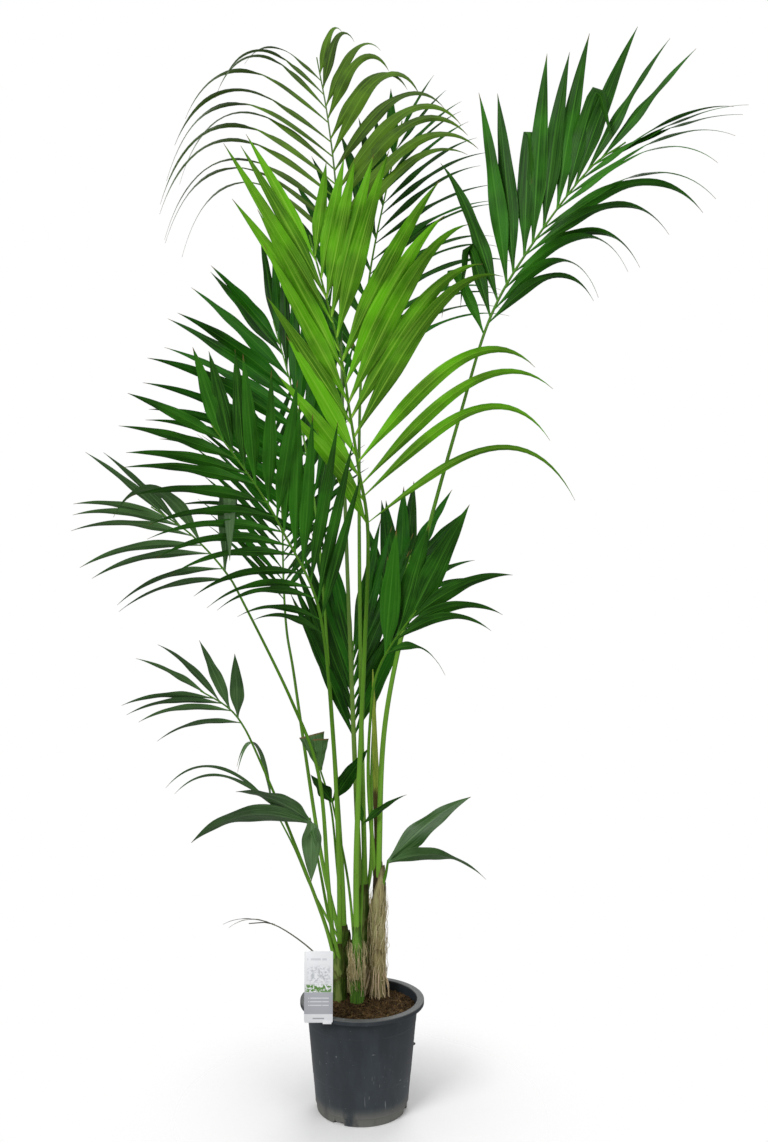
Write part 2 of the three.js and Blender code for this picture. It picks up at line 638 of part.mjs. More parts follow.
function overlaps(one, other) {
  const [a, b] = [one.boundingBox(), other.boundingBox()];
  const apart = [0, 1, 2].some((k) => a.min[k] > b.max[k] || b.min[k] > a.max[k]);
  return !apart && one.intersect(other).volume() > SMALLEST_OVERLAP;
}

/*
 * A leaflet grows past its neighbours and past the others of its own frond: it turns aside or
 * stays shorter where one is in its way. Returns it whole and without its foot.
 */
function grownLeaflet(frond, curve, side, index, neighbours, siblings) {
  for (const shortening of SHORTENINGS) {
    for (const turn of TURNS) {
      const start = leafletStart(frond, curve, side, index, turn);
      const whole = leafletSolid(start, shortening, true);
      const blade = leafletSolid(start, shortening, false);
      const free = !neighbours.some((neighbour) => overlaps(whole, neighbour));
      if (free && !siblings.some((sibling) => overlaps(blade, sibling))) {
        return { whole, blade };
      }
    }
  }
  return null;
}

/* The body's outer shell, without the slivers and the tiny closed voids that joins can leave. */
function cleaned(body) {
  const shells = body.simplify(SLIVER).decompose();
  return shells.reduce((largest, shell) => (shell.volume() > largest.volume() ? shell : largest));
}

/* A frond: its stalk, joined by every leaflet that finds room. */
function frondSolid(frond, neighbours) {
  let body = stalkSolid(frond, 0);
  if (!frond.rows) {
    return body;
  }
  const curve = midrib(frond);
  const blades = [];
  for (const side of [-1, 1]) {
    const { count } = side < 0 ? frond.rows.left : frond.rows.right;
    for (let index = 0; index < count; index += 1) {
      const leaflet = grownLeaflet(frond, curve, side, index, neighbours, blades);
      if (leaflet) {
        body = body.add(leaflet.whole);
        blades.push(leaflet.blade);
      }
    }
  }
  return cleaned(body);
}

/* A named mesh with its own material. */
function meshOf(name, solid, colour, roughness) {
  const { vertProperties, triVerts } = solid.getMesh();
  const geometry = new THREE.BufferGeometry();
  geometry.setAttribute('position', new THREE.BufferAttribute(vertProperties, 3));
  geometry.setIndex(new THREE.BufferAttribute(triVerts, 1));
  geometry.computeVertexNormals();
  const mesh = new THREE.Mesh(geometry, new THREE.MeshStandardMaterial({ color: colour, roughness }));
  mesh.name = name;
  return mesh;
}

const plant = new THREE.Group();
const fronds = FRONDS.map((frond, index) => ({ ...frond, seed: index + 1 }));
const stalkRooms = fronds.map((frond) => stalkSolid(frond, GAP));
const stemRooms = STEMS.map((stem) => stemSolid(stem, GAP));

plant.add(meshOf('pot', potSolid(), '#343b44', 0.6));
const label = labelSolid();
const labelRoom = turnedBox([TONGUE_WIDTH + 2 * GAP, LABEL_THICKNESS + 2 * GAP, TONGUE_DROP],
  [LABEL_PLACE[0] + TONGUE_SHIFT, LABEL_PLACE[1] + TONGUE_REACH - LABEL_THICKNESS / 2,
    LABEL_PLACE[2] + TONGUE_LIFT - LABEL_THICKNESS - TONGUE_DROP / 2 - GAP], 0);
plant.add(meshOf('soil', soilSolid([...stemRooms, labelRoom]), '#4a2a1c', 0.95));
plant.add(meshOf('plant_label', label, '#dfe2e6', 0.4));

for (const stem of STEMS) {
  const sockets = stalkRooms.filter((_, index) => fronds[index].stem === stem.name);
  const body = sockets.reduce((rest, socket) => rest.subtract(socket), stemSolid(stem, 0));
  plant.add(meshOf(stem.name, body, stem.colour, 0.7));
}

const grown = [];
fronds.forEach((frond, index) => {
  const otherStalks = stalkRooms.filter((_, other) => other !== index);
  const body = frondSolid(frond, [label, ...stemRooms, ...otherStalks, ...grown]);
  grown.push(body);
  plant.add(meshOf(frond.name, body, frond.colour, 0.5));
});

export default plant;
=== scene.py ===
"""Potted palm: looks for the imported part.

Five slim stems stand in a round nursery pot of peat. Every frond, stem, the pot, the soil and the
label is made again here, with finer geometry and a procedural material, in the place that its CAD
node holds. The front of the plant faces -Y and the pot stands on the origin.
"""

from typing import NamedTuple
import bpy
import numpy as np
from bpy.props import FloatProperty, FloatVectorProperty, IntProperty, PointerProperty
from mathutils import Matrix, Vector


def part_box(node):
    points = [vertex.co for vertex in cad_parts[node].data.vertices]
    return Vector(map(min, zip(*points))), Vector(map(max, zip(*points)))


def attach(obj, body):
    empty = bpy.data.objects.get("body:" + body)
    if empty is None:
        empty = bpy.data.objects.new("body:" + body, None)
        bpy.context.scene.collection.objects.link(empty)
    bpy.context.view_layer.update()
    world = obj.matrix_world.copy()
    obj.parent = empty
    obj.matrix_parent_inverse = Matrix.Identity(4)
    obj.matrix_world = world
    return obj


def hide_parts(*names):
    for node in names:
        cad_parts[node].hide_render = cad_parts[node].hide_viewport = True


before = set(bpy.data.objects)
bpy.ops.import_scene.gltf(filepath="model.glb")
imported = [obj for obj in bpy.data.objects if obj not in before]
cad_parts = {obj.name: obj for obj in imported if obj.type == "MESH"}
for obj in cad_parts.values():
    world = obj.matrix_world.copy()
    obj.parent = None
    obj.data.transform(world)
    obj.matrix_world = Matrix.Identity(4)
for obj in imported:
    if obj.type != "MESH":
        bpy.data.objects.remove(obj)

bl_info = {
    "name": "Potted Palm",
    "version": (1, 0, 0),
    "blender": (4, 5, 0),
    "location": "3D View > Sidebar > Palm",
    "description": "Makes the detailed pieces and finishes of a potted palm",
    "category": "Object",
}

MM = 0.001
TURN = 2 * np.pi
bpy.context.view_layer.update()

# The pot and its peat, in metres, from the boxes of their nodes. POT_NECK is the wall's radius
# under the lip, POT_BASE its radius at the foot and POT_FOOT the height of the foot.
POT_LOW, POT_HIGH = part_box("pot")
POT_HEIGHT = POT_HIGH.z
RIM_RADIUS = (POT_HIGH.y - POT_LOW.y) / 2
POT_NECK = RIM_RADIUS - 10.5 * MM
POT_BASE = RIM_RADIUS - 28 * MM
POT_FOOT = 14 * MM
NOTCH_HEIGHT = 8 * MM
SOIL_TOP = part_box("soil")[1].z
PEAT_RADIUS = RIM_RADIUS - 14.2 * MM

# Drain notches in the foot, in degrees from the front, and in millimetres the heights of the
# wall's two faint steps and of the nub on its right.
NOTCHES = (-29, 73, 151, 241)
WALL_STEPS = (58, 141)
NUB_HEIGHT = 100

# LABEL_FRONT is the y of the foot of the label's card, in front of the rim, in millimetres.
LABEL_LOW, LABEL_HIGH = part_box("plant_label")
LABEL_FRONT = -98

# The floor's radius, the number of rootlets, the spacing of a stalk's sections, and the height in
# millimetres, inside the peat, at which every stem starts.
FLOOR_RADIUS = 0.6
ROOTLETS = 26
STALK_STEP = 12 * MM
STEM_FOOT = 120


class Wrap(NamedTuple):
    """An old leaf base round a stem, in millimetres and degrees.

    It runs from low up to high, plus slant on its side and less slant across from it, and stands
    off the stem by stand.
    """

    low: float
    high: float
    side: float
    slant: float
    stand: float
    dry: bool


class Stem(NamedTuple):
    """A stem, in millimetres: radius is [foot, top], slot names its part's colour but is not used, bark
    its look.
    """

    name: str
    slot: str
    bark: str
    radius: list
    foot: list
    top: list
    wraps: list


class Row(NamedTuple):
    """The leaflets on one side of a frond, from stalk to tip, in millimetres and degrees.

    A list's values are spread evenly along the row. angle is between leaflet and midrib, lift
    its rise out of the frond's plane, droop how far the tip bends down, growing as power of the
    way along, and flat how far it untwists. A bent leaflet is [its number, the share of its
    length where it folds, how far it drops], and cut leaflets end blunt.
    """

    leaflets: int
    angle: list
    length: list
    width: list
    droop: list
    power: float = 1.6
    lift: float = 15
    flat: float = 0.4
    bent: list = ()
    cut: bool = False


class Frond(NamedTuple):
    """A frond, in millimetres, whose stations are points along its stalk and midrib.

    blade is the share of that length where the leaflets start and across points to the frond's
    right. look is the leaflets' finish where it isn't named like the slot.
    """

    name: str
    slot: str
    radius: list
    stations: list
    blade: float = 1.0
    across: list = (1, 0, 0)
    left: Row = None
    right: Row = None
    look: str = None


STEMS = [
    Stem("stem_back", "green_sheath", "green_sheath", radius=[13, 10.5],
         foot=[3, 60, STEM_FOOT], top=[0, 62, 350],
         wraps=[Wrap(125, 215, 200, 18, 1.6, True), Wrap(130, 290, 20, 24, 0.8, False)]),
    Stem("stem_front", "green_sheath", "fresh_sheath", radius=[11, 7.5],
         foot=[-8, 5, STEM_FOOT], top=[-10, 3, 300],
         wraps=[Wrap(125, 188, 250, 22, 1.8, False), Wrap(130, 232, 165, 40, 0.9, True)]),
    Stem("stem_left", "green_sheath", "green_sheath", radius=[12.5, 10],
         foot=[-38, 25, STEM_FOOT], top=[-44, 18, 260],
         wraps=[Wrap(125, 190, 300, 20, 1.7, False), Wrap(130, 225, 120, 16, 0.9, False)]),
    Stem("stem_back_left", "green_sheath", "green_sheath", radius=[12, 9.8],
         foot=[-28, 55, STEM_FOOT], top=[-36, 57, 280],
         wraps=[Wrap(125, 200, 180, 22, 1.5, True), Wrap(130, 250, 30, 18, 0.8, False)]),
    Stem("stem_right", "dry_sheath", "dark_sheath", radius=[12, 8.6],
         foot=[25, 40, STEM_FOOT], top=[27, 33, 395],
         wraps=[Wrap(125, 222, 270, 26, 2.2, True), Wrap(130, 300, 20, 60, 1.4, True),
                Wrap(190, 352, 330, 40, 0.8, True)]),
]
STEM = {stem.name: stem for stem in STEMS}

# Painted shade: the fronds at the back and inside the crown take the darkest leaf finish, coloured darker
# because they lie in shade.
FRONDS = [
    Frond("frond_crown", "olive_leaf", [3.6, 0.9], blade=0.73, across=[1, 0, -0.1],
          stations=[[-4.5, 58.5, 325], [-20, 60, 675], [-35, 80, 1040], [-45, 110, 1370],
                    [-55, 150, 1635], [-75, 180, 1820], [-100, 200, 1965]],
          left=Row(12, [44, 44, 40, 34, 34], [430, 480, 440, 350, 150], [20, 24, 22, 14],
                   [3.2, 3.6, 3.4, 2.6, 1.6], power=2.5, lift=5, flat=0.9),
          right=Row(11, [38, 38, 34, 28, 20], [340, 370, 300, 210, 125], [26, 32, 28, 19],
                    [1, 1.5, 1.6, 1.5, 1.4], power=2.4, lift=10, flat=0.1)),
    Frond("frond_high_back", "deep_leaf", [3.6, 0.9], blade=0.61, across=[1, 0.1, 0.2],
          stations=[[4, 58, 325], [-5, 90, 670], [-10, 130, 1010], [-10, 180, 1250], [0, 220, 1445],
                    [20, 240, 1600], [75, 270, 1870]],
          left=Row(9, [40, 38, 32, 22, 10], [290, 300, 250, 180, 130], [34, 46, 40, 26], [0.1], lift=10),
          right=Row(18, [46, 44, 40, 30, 15], [330, 320, 300, 240, 150], [16, 20, 16, 10],
                    [0.9, 0.8, 0.6, 0.3], lift=10)),
    Frond("frond_bright", "fresh_leaf", [4, 1], blade=0.585, across=[1, 0, 0.1],
          stations=[[-10, 0, 275], [-10, 0, 425], [0, -20, 680], [10, -60, 950], [-5, -90, 1065],
                    [-20, -120, 1160], [-35, -160, 1250], [-80, -215, 1415]],
          left=Row(11, [26, 25, 22, 20, 10], [180, 210, 290, 290, 190], [26, 32, 28, 20], [0.1],
                    flat=0.1),
          right=Row(14, [60, 48, 36, 30, 22], [420, 400, 340, 260, 130], [12, 24, 36, 36, 32, 22],
                    [2.2, 1.5, 0.8, 0.2, 0.1], power=3, flat=0.1)),
    Frond("frond_right_high", "leaf", [3.8, 1], blade=0.71, across=[0.6, -0.3, -0.75],
          stations=[[27, 28, 370], [40, 10, 645], [100, -20, 920], [170, -50, 1175], [220, -70, 1335],
                    [285, -100, 1445], [375, -130, 1560], [435, -150, 1600]],
          left=Row(13, [44, 38, 32, 24, 10], [200, 310, 290, 260, 200], [24, 38, 34, 22],
                   [0.9, 0.4, 0.4, 0.2], power=2,
                   bent=[[0, 0.55, 2.5], [1, 0.5, 3], [5, 0.66, 4], [9, 0.6, 2]]),
          right=Row(12, [30, 28, 26, 20, 12], [230, 270, 300, 280, 210], [20, 24, 20],
                    [2.6, 2.6, 2, 1, 0.4], power=2.4, flat=0.8)),
    Frond("frond_left_mid", "leaf", [3.4, 0.9], blade=0.585, across=[0.8, 0.1, 0.6],
          stations=[[-39.5, 21, 235], [-41, 10, 400], [-50, -20, 610], [-70, -90, 830], [-125, -140, 955],
                    [-165, -180, 1025], [-230, -215, 1115]],
          left=Row(14, [48, 50, 48, 40, 22], [150, 200, 230, 210, 140], [14, 18, 22, 22],
                   [1, 0.8, 0.4, 0.2]),
          right=Row(12, [26, 30, 32, 30, 20], [260, 260, 230, 190, 130], [20, 26, 26, 30], [0, 0, 0.1])),
    Frond("frond_left_high", "deep_leaf", [3.4, 0.9], blade=0.6, across=[0.9, -0.1, 0.4],
          stations=[[-32, 54, 255], [-40, 60, 410], [-60, 80, 675], [-85, 110, 970], [-115, 130, 1160],
                    [-150, 150, 1300], [-180, 165, 1405]],
          left=Row(13, [50, 48, 42, 30, 15], [300, 330, 330, 270, 200], [18, 30, 36, 32],
                   [0.7, 0.5, 0.3, 0.1]),
          right=Row(12, [24, 22, 20, 16, 10], [260, 300, 290, 240, 200], [18, 26, 28, 22],
                    [0.2, 0.1, 0.1])),
    Frond("frond_left_low", "leaf", [3.1, 0.9], look="low_leaf", blade=0.79, across=[0.5, -0.3, 0.8],
          stations=[[-49, 21, 235], [-60, 20, 365], [-75, -10, 550], [-120, -40, 680], [-195, -80, 840],
                    [-225, -100, 895], [-280, -110, 955], [-345, -115, 1000]],
          left=Row(7, [60, 48, 36, 15, 8], [180, 190, 200, 170, 160], [14, 18, 16], [1, 0.7, 0.3]),
          right=Row(4, [48, 30, 15, 5], [260, 250, 180, 160], [34, 34, 20, 14], [0, 3, 0.2, 0.2],
                    bent=[[0, 0.55, 5]])),
    Frond("frond_back_left", "deep_leaf", [3, 0.8], blade=0.63, across=[1, 0.2, 0.1],
          stations=[[-40, 60, 255], [-75, 90, 385], [-110, 120, 580], [-135, 150, 725], [-150, 170, 800],
                    [-160, 200, 900], [-170, 240, 1060], [-195, 270, 1210]],
          left=Row(16, [42, 42, 38, 25], [220, 240, 230, 170], [14, 18, 14], [0.3]),
          right=Row(16, [42, 42, 38, 25], [120, 220, 230, 170], [14, 18, 14], [0.3])),
    Frond("frond_low_left", "leaf", [2.6, 0.9], look="low_leaf", blade=0.83, across=[0.4, -0.3, 0.8],
          stations=[[-47.5, 13, 235], [-68, 0, 310], [-125, -50, 475], [-170, -80, 590], [-195, -95, 645],
                    [-220, -105, 675], [-260, -115, 700]],
          left=Row(4, [50, 35, 25, 15], [140, 150, 160, 140], [14, 16, 14], [1, 0.8, 0.3]),
          right=Row(4, [50, 30, 25, 8], [120, 130, 140, 120], [26, 26, 16, 14], [0, 0, 0.5, 0.3])),
    Frond("frond_low_thin", "leaf", [1.8, 1], look="low_leaf", blade=0.96, across=[0.2, -0.3, 1],
          stations=[[-41, 52, 255], [-90, 70, 335], [-125, 80, 410], [-170, 90, 490]],
          left=Row(2, [15, 25], [230, 220], [12, 10], [1.4, 1.6]),
          right=Row(2, [25, 35], [240, 210], [10], [1.6, 1.5])),
    Frond("frond_low_broad", "leaf", [2.4, 1.2], look="low_leaf", blade=0.96, across=[1, -0.2, 0.2],
          stations=[[-39.5, 12.5, 235], [-57, -12, 315], [-70, -45, 400], [-85, -75, 490]],
          left=Row(2, [62, 30], [230, 100], [46, 40], [1.5, 0.2]),
          right=Row(2, [50, 100], [130, 60], [52, 14], [2.5, 0.2], lift=70, flat=0.9,
                    bent=[[0, 0.12, 4]])),
    Frond("frond_front_right", "leaf", [3, 1], blade=0.78, across=[0.7, -0.3, -0.6],
          stations=[[21.5, 34.5, 370], [10, 0, 540], [15, -30, 665], [25, -50, 725], [50, -80, 775],
                    [90, -110, 830]],
          left=Row(4, [20, 28, 16, 10], [260, 150, 230, 200], [46, 30, 50, 38], [0, 0.2, 0.1]),
          right=Row(4, [30, 22, 20, 8], [130, 220, 210, 200], [16, 18, 22, 30], [1.6, 1.2, 1, 0.6])),
    Frond("frond_right_low", "leaf", [2.4, 1.4], look="low_leaf", blade=0.9, across=[1, -0.2, 0],
          stations=[[33, 33, 350], [40, 24, 375], [44, 20, 400]],
          left=Row(1, [-34], [175], [42], [0.4]),
          right=Row(1, [54], [195], [36], [1.1])),
    Frond("frond_inner_back", "deep_leaf", [2.8, 1], blade=0.6, across=[1, 0, 0.1],
          stations=[[-4, 66, 325], [-10, 71, 380], [-15, 80, 570], [-20, 90, 670], [-20, 110, 780]],
          left=Row(9, [20, 22, 20, 10], [260, 280, 280, 240], [26, 32, 30], [0.1]),
          right=Row(9, [25, 30, 26, 10], [240, 280, 280, 240], [30, 34, 30], [0.1])),
    Frond("frond_right_back", "deep_leaf", [2.8, 1], blade=0.78, across=[1, 0, 0.2],
          stations=[[4.5, 66, 325], [14, 76, 390], [15, 110, 560], [25, 150, 705], [55, 200, 840],
                    [90, 230, 950]],
          left=Row(5, [25, 25, 15, 8], [200, 220, 200, 180], [34, 38, 32], [0.2, 0.2, 0.1]),
          right=Row(5, [44, 35, 25, 10], [190, 190, 180, 170], [14, 26, 36, 32], [1, 0.5, 0.2, 0.1])),
    Frond("leaf_small_cut", "leaf", [2, 1.2], look="low_leaf", blade=0.96, across=[1, 0, 0.2],
          stations=[[-32, 62, 255], [-45, 69, 360], [-58, 72, 480], [-80, 75, 555]],
          left=Row(1, [-8], [66], [50], [0], cut=True),
          right=Row(1, [20], [58], [30], [0], cut=True)),
    Frond("leaf_small_middle", "deep_leaf", [1.9, 1.2], blade=0.96, across=[0.8, 0, 0.6],
          stations=[[-15, 8.5, 275], [-22, 20, 340], [-32, 27, 400], [-55, 30, 505]],
          left=Row(1, [25], [60], [30], [0]),
          right=Row(1, [45], [110], [34], [0])),
    Frond("leaf_small_right", "leaf", [1.9, 1.2], blade=0.96, across=[1, 0, 0],
          stations=[[-4, 7, 275], [0, 12, 370], [0, 10, 470]],
          left=Row(1, [10], [60], [14], [0]),
          right=Row(1, [50], [95], [16], [0.4])),
    Frond("spear_leaf", "fresh_leaf", [3.4, 5, 4.8, 4.2, 3.4, 2.6, 0.6],
          stations=[[29, 39, 370], [25, 40, 480], [20, 38, 625], [17, 34, 730]]),
    Frond("withered_leaf", "dry_leaf", [1.3, 0.7], blade=0.6, across=[0, -1, 0.4],
          stations=[[-43, 20, 195], [-87, 0, 255], [-150, -10, 300], [-192, -15, 303]],
          left=Row(1, [12], [90], [10], [0.9]),
          right=Row(1, [14], [80], [10], [1.2])),
]


# Shapes


def unit(vectors):
    """Vectors divided by their lengths."""
    return vectors / np.maximum(np.linalg.norm(vectors, axis=-1, keepdims=True), 1e-12)


def smooth(value, low, high):
    """0 below low, 1 above high and 3t^2 - 2t^3 between them, t being the share of the way."""
    t = np.clip((value - low) / (high - low), 0, 1)
    return t * t * (3 - 2 * t)


def jitter(index, seed):
    """A repeatable number from -1 to 1: twice the fraction of a large sine, less 1."""
    wave = np.sin(index * 12.9898 + seed * 78.233) * 43758.5453
    return 2 * (wave - np.floor(wave)) - 1


def along(share, values):
    """The value at each share, 0 to 1, on straight lines between evenly spaced values."""
    return np.interp(np.clip(share, 0, 1) * (len(values) - 1), np.arange(len(values)), values)


def square_to(vector, axis):
    """The part of a vector that is square to a unit axis, as a unit vector."""
    return unit(vector - axis * np.sum(vector * axis, axis=-1, keepdims=True))


def rough(points, scale, seed):
    """Lumps from about -1 to 1: a sum of 14 sine waves of random directions, lengths and phases."""
    pick, waves = np.random.default_rng(seed), 14
    lanes = unit(pick.normal(size=(waves, points.shape[-1]))) * pick.uniform(0.6, 2.2, (waves, 1))
    phases = pick.uniform(0, TURN, waves)
    return np.sin(points @ lanes.T * (TURN / scale) + phases).sum(-1) / np.sqrt(waves)


class Path:
    """A smooth line through points, measured by its length.

    Each span from b to c, with a before and d after it, is the Catmull-Rom cubic
    ((3b - 3c + d - a) t^3 + (2a - 5b + 4c - d) t^2 + (c - a) t + 2b) / 2.
    """

    FINE = 40

    def __init__(self, stations):
        p = np.array(stations, float) * MM
        p = np.vstack([2 * p[0] - p[1], p, 2 * p[-1] - p[-2]])
        t = (np.arange(self.FINE) / self.FINE)[None, :, None]
        a, b, c, d = (p[k:len(p) - 3 + k, None] for k in range(4))
        spans = ((3 * b - 3 * c + d - a) * t**3 + (2 * a - 5 * b + 4 * c - d) * t**2
                 + (c - a) * t + 2 * b) / 2
        self.line = np.vstack([spans.reshape(-1, 3), p[-2]])
        steps = np.linalg.norm(np.diff(self.line, axis=0), axis=1)
        self.place = np.concatenate([[0], np.cumsum(steps)])
        self.length = self.place[-1]

    def at(self, share):
        """The points at shares of the length."""
        place = np.asarray(share) * self.length
        return np.stack([np.interp(place, self.place, axis) for axis in self.line.T], -1)

    def heading(self, share):
        """The unit directions at shares of the length, from points just before and after."""
        reach = 0.004
        ahead = self.at(np.minimum(np.asarray(share) + reach, 1))
        return unit(ahead - self.at(np.maximum(np.asarray(share) - reach, 0)))


class Skin:
    """Gathers closed tubes and rings of points, then makes them one mesh.

    A tube is a grid of rows by columns whose columns close on themselves; its first and last
    rows are closed by one face each. A ring closes on itself both ways. growth carries
    (across, along, tone) for the materials and under is 1 on the lower side of a leaflet.
    """

    def __init__(self):
        self.points, self.growth, self.under = [], [], []
        self.loops, self.sizes, self.finishes = [], [], []
        self.count = 0

    @staticmethod
    def outward(grid):
        """1 where a grid's quads face away from its middle, -1 where they face it.

        The sign is that of the sum of a . (b x c) over the quads' halves, a, b and c being
        their corners measured from the middle of the grid.
        """
        p = grid - grid.mean(axis=(1, 2), keepdims=True)
        a, b = p[:, :-1], np.roll(p, -1, axis=2)[:, :-1]
        c, d = np.roll(p, -1, axis=2)[:, 1:], p[:, 1:]
        halves = np.sum(a * np.cross(b, c), -1) + np.sum(a * np.cross(c, d), -1)
        return np.where(halves.sum(axis=(1, 2)) < 0, -1, 1)

    def add(self, grid, growth=None, under=None, finish=0, ring=False):
        """Adds tubes or rings, given as [tube, row, column, xyz]."""
        tubes, rows, columns = grid.shape[:3]
        growth = np.zeros(grid.shape) if growth is None else np.broadcast_to(growth, grid.shape)
        under = np.zeros(grid.shape[:3]) if under is None else np.broadcast_to(under, grid.shape[:3])
        number = self.count + np.arange(tubes * rows * columns).reshape(tubes, rows, columns)
        inward = self.outward(np.concatenate([grid, grid[:, :1]], 1) if ring else grid) < 0
        number[inward] = number[inward][:, :, ::-1]
        beside = np.roll(number, -1, axis=2)
        last = rows if ring else rows - 1
        above, above_beside = np.roll(number, -1, axis=1), np.roll(beside, -1, axis=1)
        quads = np.stack([number, beside, above_beside, above], -1)[:, :last].reshape(-1, 4)
        self.loops.append(quads.ravel())
        self.sizes.append(np.full(len(quads), 4))
        faces = len(quads)
        if not ring:
            caps = np.concatenate([number[:, 0, ::-1], number[:, -1]])
            self.loops.append(caps.ravel())
            self.sizes.append(np.full(len(caps), columns))
            faces += len(caps)
        self.finishes.append(np.full(faces, finish))
        self.points.append(grid.reshape(-1, 3))
        self.growth.append(growth.reshape(-1, 3))
        self.under.append(under.ravel())
        self.count += tubes * rows * columns

    def piece(self, name, finishes, nodes=(), sharp=0.9):
        """Makes the mesh and its object, which rides on the root and stands for the CAD nodes."""
        sizes = np.concatenate(self.sizes)
        loops = np.concatenate(self.loops)
        mesh = bpy.data.meshes.new(name)
        mesh.vertices.add(self.count)
        mesh.vertices.foreach_set("co", np.concatenate(self.points).ravel())
        mesh.loops.add(len(loops))
        mesh.loops.foreach_set("vertex_index", loops)
        mesh.polygons.add(len(sizes))
        mesh.polygons.foreach_set("loop_start", np.concatenate([[0], np.cumsum(sizes)[:-1]]))
        mesh.polygons.foreach_set("material_index", np.concatenate(self.finishes))
        mesh.polygons.foreach_set("use_smooth", np.ones(len(sizes), bool))
        growth = mesh.attributes.new("growth", "FLOAT_VECTOR", "POINT")
        growth.data.foreach_set("vector", np.concatenate(self.growth).ravel())
        under = mesh.attributes.new("under", "FLOAT", "POINT")
        under.data.foreach_set("value", np.concatenate(self.under))
        for finish in finishes:
            mesh.materials.append(bpy.data.materials[f"{finish}_finish"])
        mesh.update(calc_edges=True)
        if mesh.validate():
            raise RuntimeError(f"{name} has faces that Blender had to mend")
        mesh.set_sharp_from_angle(angle=sharp)
        made = bpy.data.objects.new(name, mesh)
        bpy.context.scene.collection.objects.link(made)
        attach(made, "root")
        if nodes:
            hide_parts(*nodes)


def carried(path, shares, radius, sides, right, groove=0.0):
    """A round section carried along a path.

    Each point is middle + radius (across cos a + up sin a), where across is right made square to
    the path and up is across x heading; groove pulls the section in where a points up.
    """
    middle, forward = path.at(shares), path.heading(shares)
    across = square_to(np.array(right, float), forward)
    up = np.cross(across, forward)
    a = np.arange(sides) / sides * TURN
    reach = np.asarray(radius)[:, None] * (1 - groove * np.clip(np.sin(a), 0, 1) ** 4)
    grid = (middle[:, None] + reach[..., None]
            * (across[:, None] * np.cos(a)[None, :, None] + up[:, None] * np.sin(a)[None, :, None]))
    around = np.broadcast_to(np.abs(2 * np.arange(sides) / sides - 1), reach.shape)
    growth = np.stack([around, np.broadcast_to(np.asarray(shares)[:, None], reach.shape),
                       np.zeros(reach.shape)], -1)
    return grid[None], growth[None]


# A leaflet has ROWS sections. A section goes over the top from edge to edge and back below: ACROSS
# is the place from -1 to 1, and FACING is 1 on the top, -1 below and 0 at the edges.
ROWS = 27
TOP = np.linspace(-1, 1, 9)
ACROSS = np.concatenate([TOP, TOP[-2:0:-1]])
FACING = np.concatenate([[0], np.ones(7), [0], -np.ones(7)])

# The last leaflet's place on the midrib, the degrees by which leaflets swerve from their row, the
# length over which a bent one folds, as a share of its own, and the least half-width.
LAST_ROOT = 0.985
SWERVE = 4
FOLD_SPAN = 0.14
THINNEST = 0.25 * MM
UP = np.array([0.0, 0.0, 1.0])


def leaflet_swell(share):
    """Half-width along a leaflet: a smooth rise to 0.38, times (1 - share^2.6)^1.1 to the tip."""
    rise = 0.12 + 0.88 * smooth(share, 0, 0.38)
    return rise * np.maximum(0, 1 - share**2.6) ** 1.1


def leaflet_aims(frond, path, root, side, angle, lift):
    """The directions of a row's leaflets at their roots, and the twist that fits the frond.

    aim = forward cos a + side across sin a cos l + face sin a sin l. level is square to Z and
    aim, and twist is the angle about aim from level to the frond's plane.
    """
    forward = path.heading(root)
    across = square_to(np.array(frond.across, float), forward)
    face = np.cross(across, forward)
    aim = (forward * np.cos(angle) + across * side * np.sin(angle) * np.cos(lift)
           + face * np.sin(angle) * np.sin(lift))
    blade = unit(np.cross(face, aim))
    level = unit(np.cross(UP, aim))
    level = level * np.where(np.sum(blade * level, -1) < 0, -1, 1)[:, None]
    twist = np.arctan2(np.sum(blade * np.cross(aim, level), -1), np.sum(blade * level, -1))
    return aim, level, twist


def leaflet_lines(start, aim, length, fall):
    """Points along leaflets, the running sum of their headings aim - Z fall, and the headings."""
    heading = unit(aim[:, None] - UP * fall[..., None])
    middle_fall = (fall[:, 1:] + fall[:, :-1]) / 2
    steps = unit(aim[:, None] - UP * middle_fall[..., None]) * (length / (ROWS - 1))[:, None, None]
    travel = np.concatenate([np.zeros((len(start), 1, 3)), np.cumsum(steps, 1)], 1)
    return start[:, None] + travel, heading


def leaflet_height(half, s, phase, sizes):
    """How far the points of leaflets stand off their plane, as [leaflet, row, column].

    A section is folded down from its middle by fold |u| half-width, waves at its edges, has
    shallow pleats of cos 2.5 pi u, and is as thick as thickness sqrt(1 - u^2).
    """
    u = ACROSS[None, None]
    fold = (0.5 - 0.36 * smooth(s, 0, 0.45))[None, :, None]
    ripple = np.sin(s[None, :, None] * 17 + phase + 1.3 * u) * np.sin(s * np.pi)[None, :, None]
    pleat = 0.28 * MM * np.cos(u * 2.5 * np.pi) * smooth(half, 2 * MM, 8 * MM)[..., None]
    thick = sizes.leaf_thickness * (0.6 + 4 * (1 - smooth(s, 0, 0.05)))[None, :, None]
    return (-fold * np.sqrt(u**2 + 0.01) * half[..., None]
            + sizes.edge_wave * ripple * u**2 * smooth(half, 0, 14 * MM)[..., None]
            + pleat * (1 - u**2) + FACING * thick * np.sqrt(np.maximum(0, 1 - u**2)))


